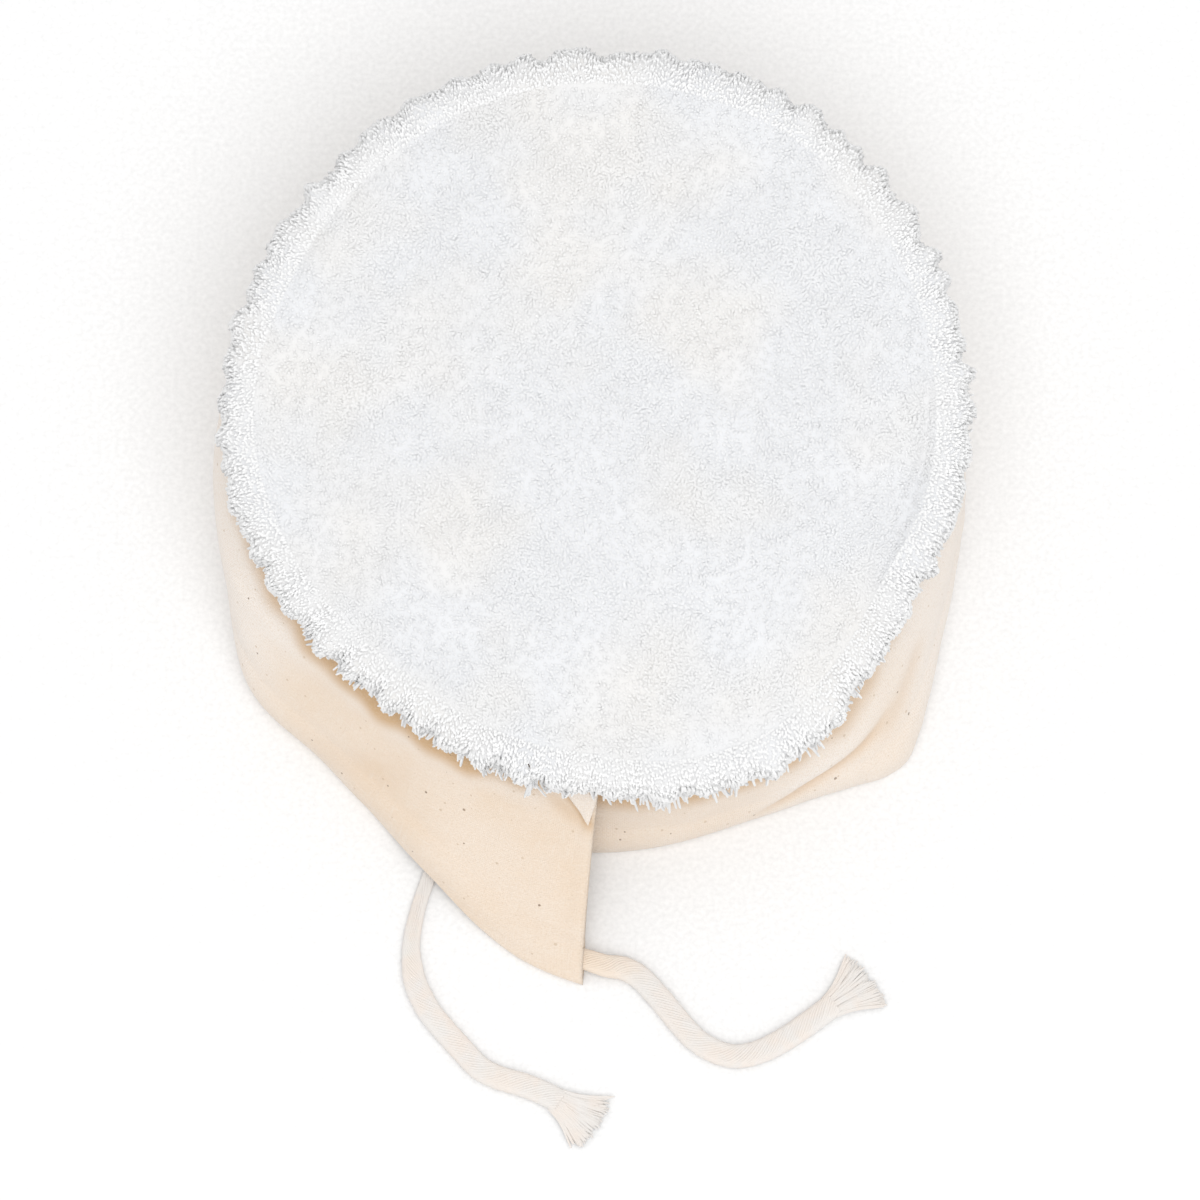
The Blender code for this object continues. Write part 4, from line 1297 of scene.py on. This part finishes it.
def make_ground(finish, backing):
    """The terry under its pile: the flat underside, the rolled edge and the face."""
    angles = tau * np.arange(GROUND_SECTORS) / GROUND_SECTORS
    rings = [round_points(angles, radius, 0.0) for radius in np.linspace(0.0, SEAT_RADIUS, 9)[1:]]
    rings.append(round_points(angles, SEAT_RADIUS + SEAM_RECESS, SEAM_RECESS))
    under = len(rings)
    rings += [rim_places(angles, radius, up) for radius, up in rim_line()]
    for share in np.linspace(1.0, 0.0, GROUND_RINGS, endpoint=False)[1:]:
        ring = round_points(angles, share * LINE_RADIUS, 0.0)
        ring[:, 2] = ground_height(ring[:, 0], ring[:, 1])
        rings.append(ring)
    rings = np.array(rings)
    bottom = len(rings) * GROUND_SECTORS
    centres = np.zeros((2, 3))
    centres[1, 2] = ground_height(0.0, 0.0)
    points = from_crown(np.concatenate((rings.reshape(-1, 3), centres)))
    quads = grid_faces(len(rings), GROUND_SECTORS, True)
    first = np.arange(GROUND_SECTORS)
    after = np.roll(first, -1)
    last = (len(rings) - 1) * GROUND_SECTORS
    low_fan = np.stack((np.full(GROUND_SECTORS, bottom), after, first), axis=1)
    high_fan = np.stack((last + first, last + after, np.full(GROUND_SECTORS, bottom + 1)), axis=1)
    piece = new_piece("terry_ground", points, [quads, low_fan, high_fan], finish)
    piece.data.materials.append(backing)
    index = np.zeros(len(piece.data.polygons), np.int32)
    index[: under * GROUND_SECTORS] = 1
    index[len(quads) : len(quads) + GROUND_SECTORS] = 1
    piece.data.polygons.foreach_set("material_index", index)
    set_values(piece, "tone_and_painted_light", np.full(len(points), GROUND_TONE))
    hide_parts("terry_crown")
    return piece


def tuft_mesh(name, roots, rise, lean, width, shares, finish, tone_and_painted_light, softness=SOFT_SHADING):
    """Curved tufts, each from its root up by rise and over by lean, in rings at shares of its length."""
    sides = TUFT_SIDES
    side = unit(np.cross(rise, lean))
    angles = tau * (np.arange(sides) + 0.5) / sides
    rings = []
    for share, size in shares:
        centre = roots + rise * (share * (2 - share)) + lean * (share * share)
        ahead = unit(rise * (1 - share) + lean * share)
        over = np.cross(ahead, side)
        ring = side[:, None] * np.cos(angles)[None, :, None] + over[:, None] * np.sin(angles)[None, :, None]
        rings.append(centre[:, None] + ring * (width * size)[:, None, None])
    tip = (roots + rise + lean)[:, None]
    points = np.concatenate(rings + [tip], axis=1)
    per = points.shape[1]
    count = len(roots)
    first = np.arange(count)[:, None] * per
    k = np.arange(sides)
    after = (k + 1) % sides
    quads = []
    for r in range(len(shares) - 1):
        low = r * sides
        corners = np.stack((low + k, low + after, low + sides + after, low + sides + k), axis=1)
        quads.append((first[:, :, None] + corners[None]).reshape(-1, 4))
    low = (len(shares) - 1) * sides
    corners = np.stack((low + k, low + after, np.full(sides, per - 1)), axis=1)
    triangles = (first[:, :, None] + corners[None]).reshape(-1, 3)
    points = from_crown(points.reshape(-1, 3))
    piece = new_piece(name, points, [np.concatenate(quads), triangles], finish)
    cloth_way = crown_ways(np.repeat(unit(rise), per, axis=0))
    soften(piece, cloth_way, softness)
    # Painted light: lower down each tuft takes more of the lighter root colour, lifting the shade between the
    # tufts
    heights = np.concatenate([np.full(sides, share) for share, _ in shares] + [[1.0]])
    set_values(piece, "tone_and_painted_light", np.clip(tone_and_painted_light[:, None] * (ROOT_LIGHTENED_TONE + (1 - ROOT_LIGHTENED_TONE) * heights)[None], 0, 1))
    return piece


LOOP_RINGS = ((0.0, 0.9), (0.62, 1.0))
TUFT_RINGS = ((0.0, 0.9), (0.45, 1.0), (0.86, 0.85))
LOCK_RINGS = ((0.0, 0.8), (0.55, 1.0), (0.92, 0.8))


def loop_places(rng):
    """Roots of the face's loops: rows that wander, none past the stitched line."""
    half = int(CROWN_RADIUS / LOOP_SPACING) + 6
    column, row = np.meshgrid(np.arange(-half, half + 1), np.arange(-half, half + 1))
    x = (column + 0.5 * (row % 2)).ravel() * LOOP_SPACING
    y = row.ravel() * LOOP_SPACING * sin(radians(60))
    x = x + ROW_BEND * waves(x, y, ROW_LENGTH, 21) + LOOP_STRAY * rng.standard_normal(x.shape)
    y = y + ROW_BEND * waves(x, y, ROW_LENGTH, 22) + LOOP_STRAY * rng.standard_normal(y.shape)
    keep = (np.hypot(x, y) < LINE_RADIUS + 1.0 * MM) & ~line_gaps(x, y)
    return x[keep], y[keep]


def make_face_pile(finish):
    """Short loops over the face, combed in patches."""
    rng = np.random.default_rng(31)
    x, y = loop_places(rng)
    height = ground_height(x, y)
    small = 0.2 * MM
    slope_x = (ground_height(x + small, y) - height) / small
    slope_y = (ground_height(x, y + small) - height) / small
    normal = unit(np.stack((-slope_x, -slope_y, np.ones(len(x))), axis=1))
    heading = COMB_TURN * (waves(x, y, COMB_LENGTH, 23) + waves(x, y, COMB_LENGTH / 3, 24) / 2)
    heading = heading + COMB_STRAY * rng.standard_normal(x.shape)
    flat = round_points(heading, 1.0, 0.0)
    flat = unit(flat - normal * np.sum(flat * normal, axis=1, keepdims=True))
    size = 1 + LOOP_UNEVEN * rng.standard_normal(x.shape)
    rise = normal * (LOOP_RISE * size)[:, None]
    lean = flat * (LOOP_LEAN * (0.9 + 0.12 * waves(x, y, 34 * MM, 25)) * size)[:, None]
    roots = np.stack((x, y, height), axis=1) - normal * ROOT_DEPTH
    tone_and_painted_light = 0.80 + 0.20 * rng.random(len(x))
    width = LOOP_WIDTH * (1 + WIDTH_UNEVEN * rng.standard_normal(x.shape))
    inner = np.hypot(x, y) < PILE_SPLIT
    pieces = []
    for name, part in (("terry_pile_middle", inner), ("terry_pile_outer", ~inner)):
        pieces.append(
            tuft_mesh(name, roots[part], rise[part], lean[part], width[part], LOOP_RINGS, finish, tone_and_painted_light[part])
        )
    return pieces


def clumped(tips, group, amount):
    """Draws tips that share a group towards its middle."""
    count = np.bincount(group)
    middle = np.stack([np.bincount(group, tips[:, k]) / np.maximum(count, 1) for k in range(3)], axis=1)
    return tips + amount[:, None] * (middle[group] - tips)


def make_rim_pile(finish):
    """Longer pile over the rolled edge, in clumps that hang over the canvas."""
    rng = np.random.default_rng(41)
    line = rim_line()
    run = np.concatenate(([0.0], np.cumsum(np.linalg.norm(np.diff(line, axis=0), axis=1))))
    count = int(tau * RIM_MIDDLE / RIM_SPACING)
    step = 0.3 * MM
    found = []
    for place in np.arange(RIM_FIRST_ROW, run[-1] + step * 2, RIM_SPACING * sin(radians(60))):
        angle = tau * (np.arange(count) + rng.random(count) * 0.8) / count
        at = np.clip(place + RIM_STRAY * rng.standard_normal(count), RIM_FIRST_ROW / 2, run[-1])
        radius, up = (np.interp(at, run, column) for column in line.T)
        ahead = [np.interp(at + step, run, column) - np.interp(at - step, run, column) for column in line.T]
        to_side, to_top = np.array(ahead) / np.hypot(*ahead)
        normals = round_points(angle, to_top, -to_side)
        onward = -round_points(angle, to_side, to_top)
        found.append((rim_places(angle, radius, up), normals, onward, angle, at / run[-1]))
    roots, normals, onward, angle, share = (np.concatenate(part) for part in zip(*found))
    spoke = round_points(angle, 1.0, 0.0)
    sideways = round_points(angle + pi / 2, 1.0, 0.0)
    # share is 0 inside the hanging edge, about 0.5 at the outermost part and 1 at the stitched line
    hanging = 1 - fade(share, *HANG_FADES)
    edge_x = np.cos(angle) * CROWN_RADIUS
    edge_y = np.sin(angle) * CROWN_RADIUS
    patchy = waves(edge_x, edge_y, 11 * MM, 42)
    front = hump(np.mod(angle + pi / 2 + pi, tau), pi, RIM_FRONT)
    length = RIM_LENGTH + RIM_LONGER * (1 - fade(share, *LONGER_FADES))
    length = (length + (HANG_LONGER + HANG_FRONT * front) * hanging + PATCHY_LONGER * patchy) * MM
    length = length * (1 + 0.12 * rng.standard_normal(len(length)))
    swing = 0.4 * waves(edge_x, edge_y, 7 * MM, 43) + 0.25 * rng.standard_normal(len(length))
    lean_way = unit(onward * (0.55 + 0.2 * hanging)[:, None] + sideways * swing[:, None] + spoke * 0.25)
    rise = normals * (RIM_RISE * length)[:, None]
    lean = lean_way * (RIM_LEAN * length)[:, None]
    group = (
        np.floor(angle * CROWN_RADIUS / RIM_CLUMP).astype(int) * 12
        + np.floor((share + 0.03 * waves(edge_x, edge_y, 9 * MM, 44)) * 8).astype(int)
    )
    group = group - group.min()
    draw = (0.10 + 0.30 * front * hanging) * (0.5 + rng.random(len(length)))
    tips = clumped(roots + rise + lean, group, draw)
    lean = tips - roots - rise
    width = RIM_WIDTH * (1 + WIDTH_UNEVEN * rng.standard_normal(len(length)))
    # Painted light: the rim's tufts take mostly the lighter root colour
    tone_and_painted_light = RIM_LIGHTENED_TONE * (0.9 + 0.1 * rng.random(len(length)))
    roots = roots - normals * ROOT_DEPTH
    low = share < RIM_SPLIT
    pieces = []
    for name, part, shares in (("rim_pile", ~low, LOOP_RINGS), ("rim_fringe", low, TUFT_RINGS)):
        values = (roots[part], rise[part], lean[part], width[part], shares, finish, tone_and_painted_light[part])
        pieces.append(tuft_mesh(name, *values, RIM_SOFT_SHADING))
    return pieces


def make_fringe(finish):
    """Pointed locks of pile that hang over the canvas from the crown's edge, longest at the front."""
    rng = np.random.default_rng(47)
    found = []
    angles = list(np.arange(-pi, pi, FRINGE_SPACING / CROWN_RADIUS))
    for angle in angles + [LONG_LOCK_ANGLE] * LONG_LOCKS:
        angle = angle + 0.35 * FRINGE_SPACING / CROWN_RADIUS * rng.standard_normal()
        front = hump(angle, -pi / 2, FRINGE_FRONT)
        length = (FRINGE_SHORT + (FRINGE_LONG - FRINGE_SHORT) * front) * (0.55 + 0.6 * rng.random())
        drop = 0.35 + 0.25 * rng.random()
        swing = 0.30 * rng.standard_normal()
        spoke = np.array((cos(angle), sin(angle), 0.0))
        sideways = np.array((-sin(angle), cos(angle), 0.0))
        tip_way = unit(spoke + sideways * swing - UP * drop)
        count = 2 + int(rng.integers(0, 4))
        middle = spoke * FRINGE_RADIUS + UP * (-0.6 + 1.6 * rng.random()) * MM
        for _ in range(count):
            spread = rng.standard_normal(3) * (0.5, 0.5, 0.35) * MM
            own = length * (0.7 + 0.4 * rng.random())
            reach = (tip_way + 0.10 * rng.standard_normal(3)) * own - 0.2 * spread
            rise = 0.45 * own * unit(spoke + UP * 0.1)
            width = (0.34 + 0.14 * rng.random()) * MM
            found.append((middle + spread, rise, reach - rise, width))
    roots, rises, leans, widths = (np.array(part) for part in zip(*found))
    # Painted light: the locks take mostly the lighter root colour
    tone_and_painted_light = RIM_LIGHTENED_TONE * (0.8 + 0.2 * rng.random(len(roots)))
    return tuft_mesh("rim_locks", roots, rises, leans, widths, LOCK_RINGS, finish, tone_and_painted_light, RIM_SOFT_SHADING)


def make_lint(finish):
    """A dark fleck of lint caught in the pile at the front edge."""
    t = np.linspace(0, 1, 7)[:, None]
    start = np.array(LINT_PLACE) * MM
    line = start + t * np.array((0.5, -1.3, 0.0)) * MM + t * (1 - t) * np.array((0.5, 0.0, 1.6)) * MM
    points, faces = tube_points(from_crown(line)[None], LINT_RADIUS * (1.2 - t[:, 0]), LINT_SIDES)
    return new_piece("lint", points, [faces] + tube_caps(1, len(t), LINT_SIDES), finish)


# Putting it together

make_camera()
shape = skirt_shape()
hem_line, hem_low = cord_line(*shape[-2:])
cotton = cotton_material()
ahead = unit(hem_line[0] - hem_line[1])
make_cord("right", RIGHT_CORD, hem_line[0] - ahead * INTO_MOUTH, 5, cotton)
ahead = unit(hem_line[-1] - hem_line[-2])
make_cord("left", LEFT_CORD, hem_line[-1] - ahead * INTO_MOUTH, 3, cotton)
make_hem_cord(hem_line, hem_low, cotton)
make_light()
make_floor()
canvas = canvas_material()
skirt = make_skirt(shape, canvas)
corner = make_flap_corner(shape, canvas)
terry = terry_material()
ground = make_ground(terry, backing_material())
pile = make_face_pile(terry) + make_rim_pile(terry) + [make_fringe(terry)]
pile.append(make_lint(plain_material("lint", LINT_DARK, 0.9)))
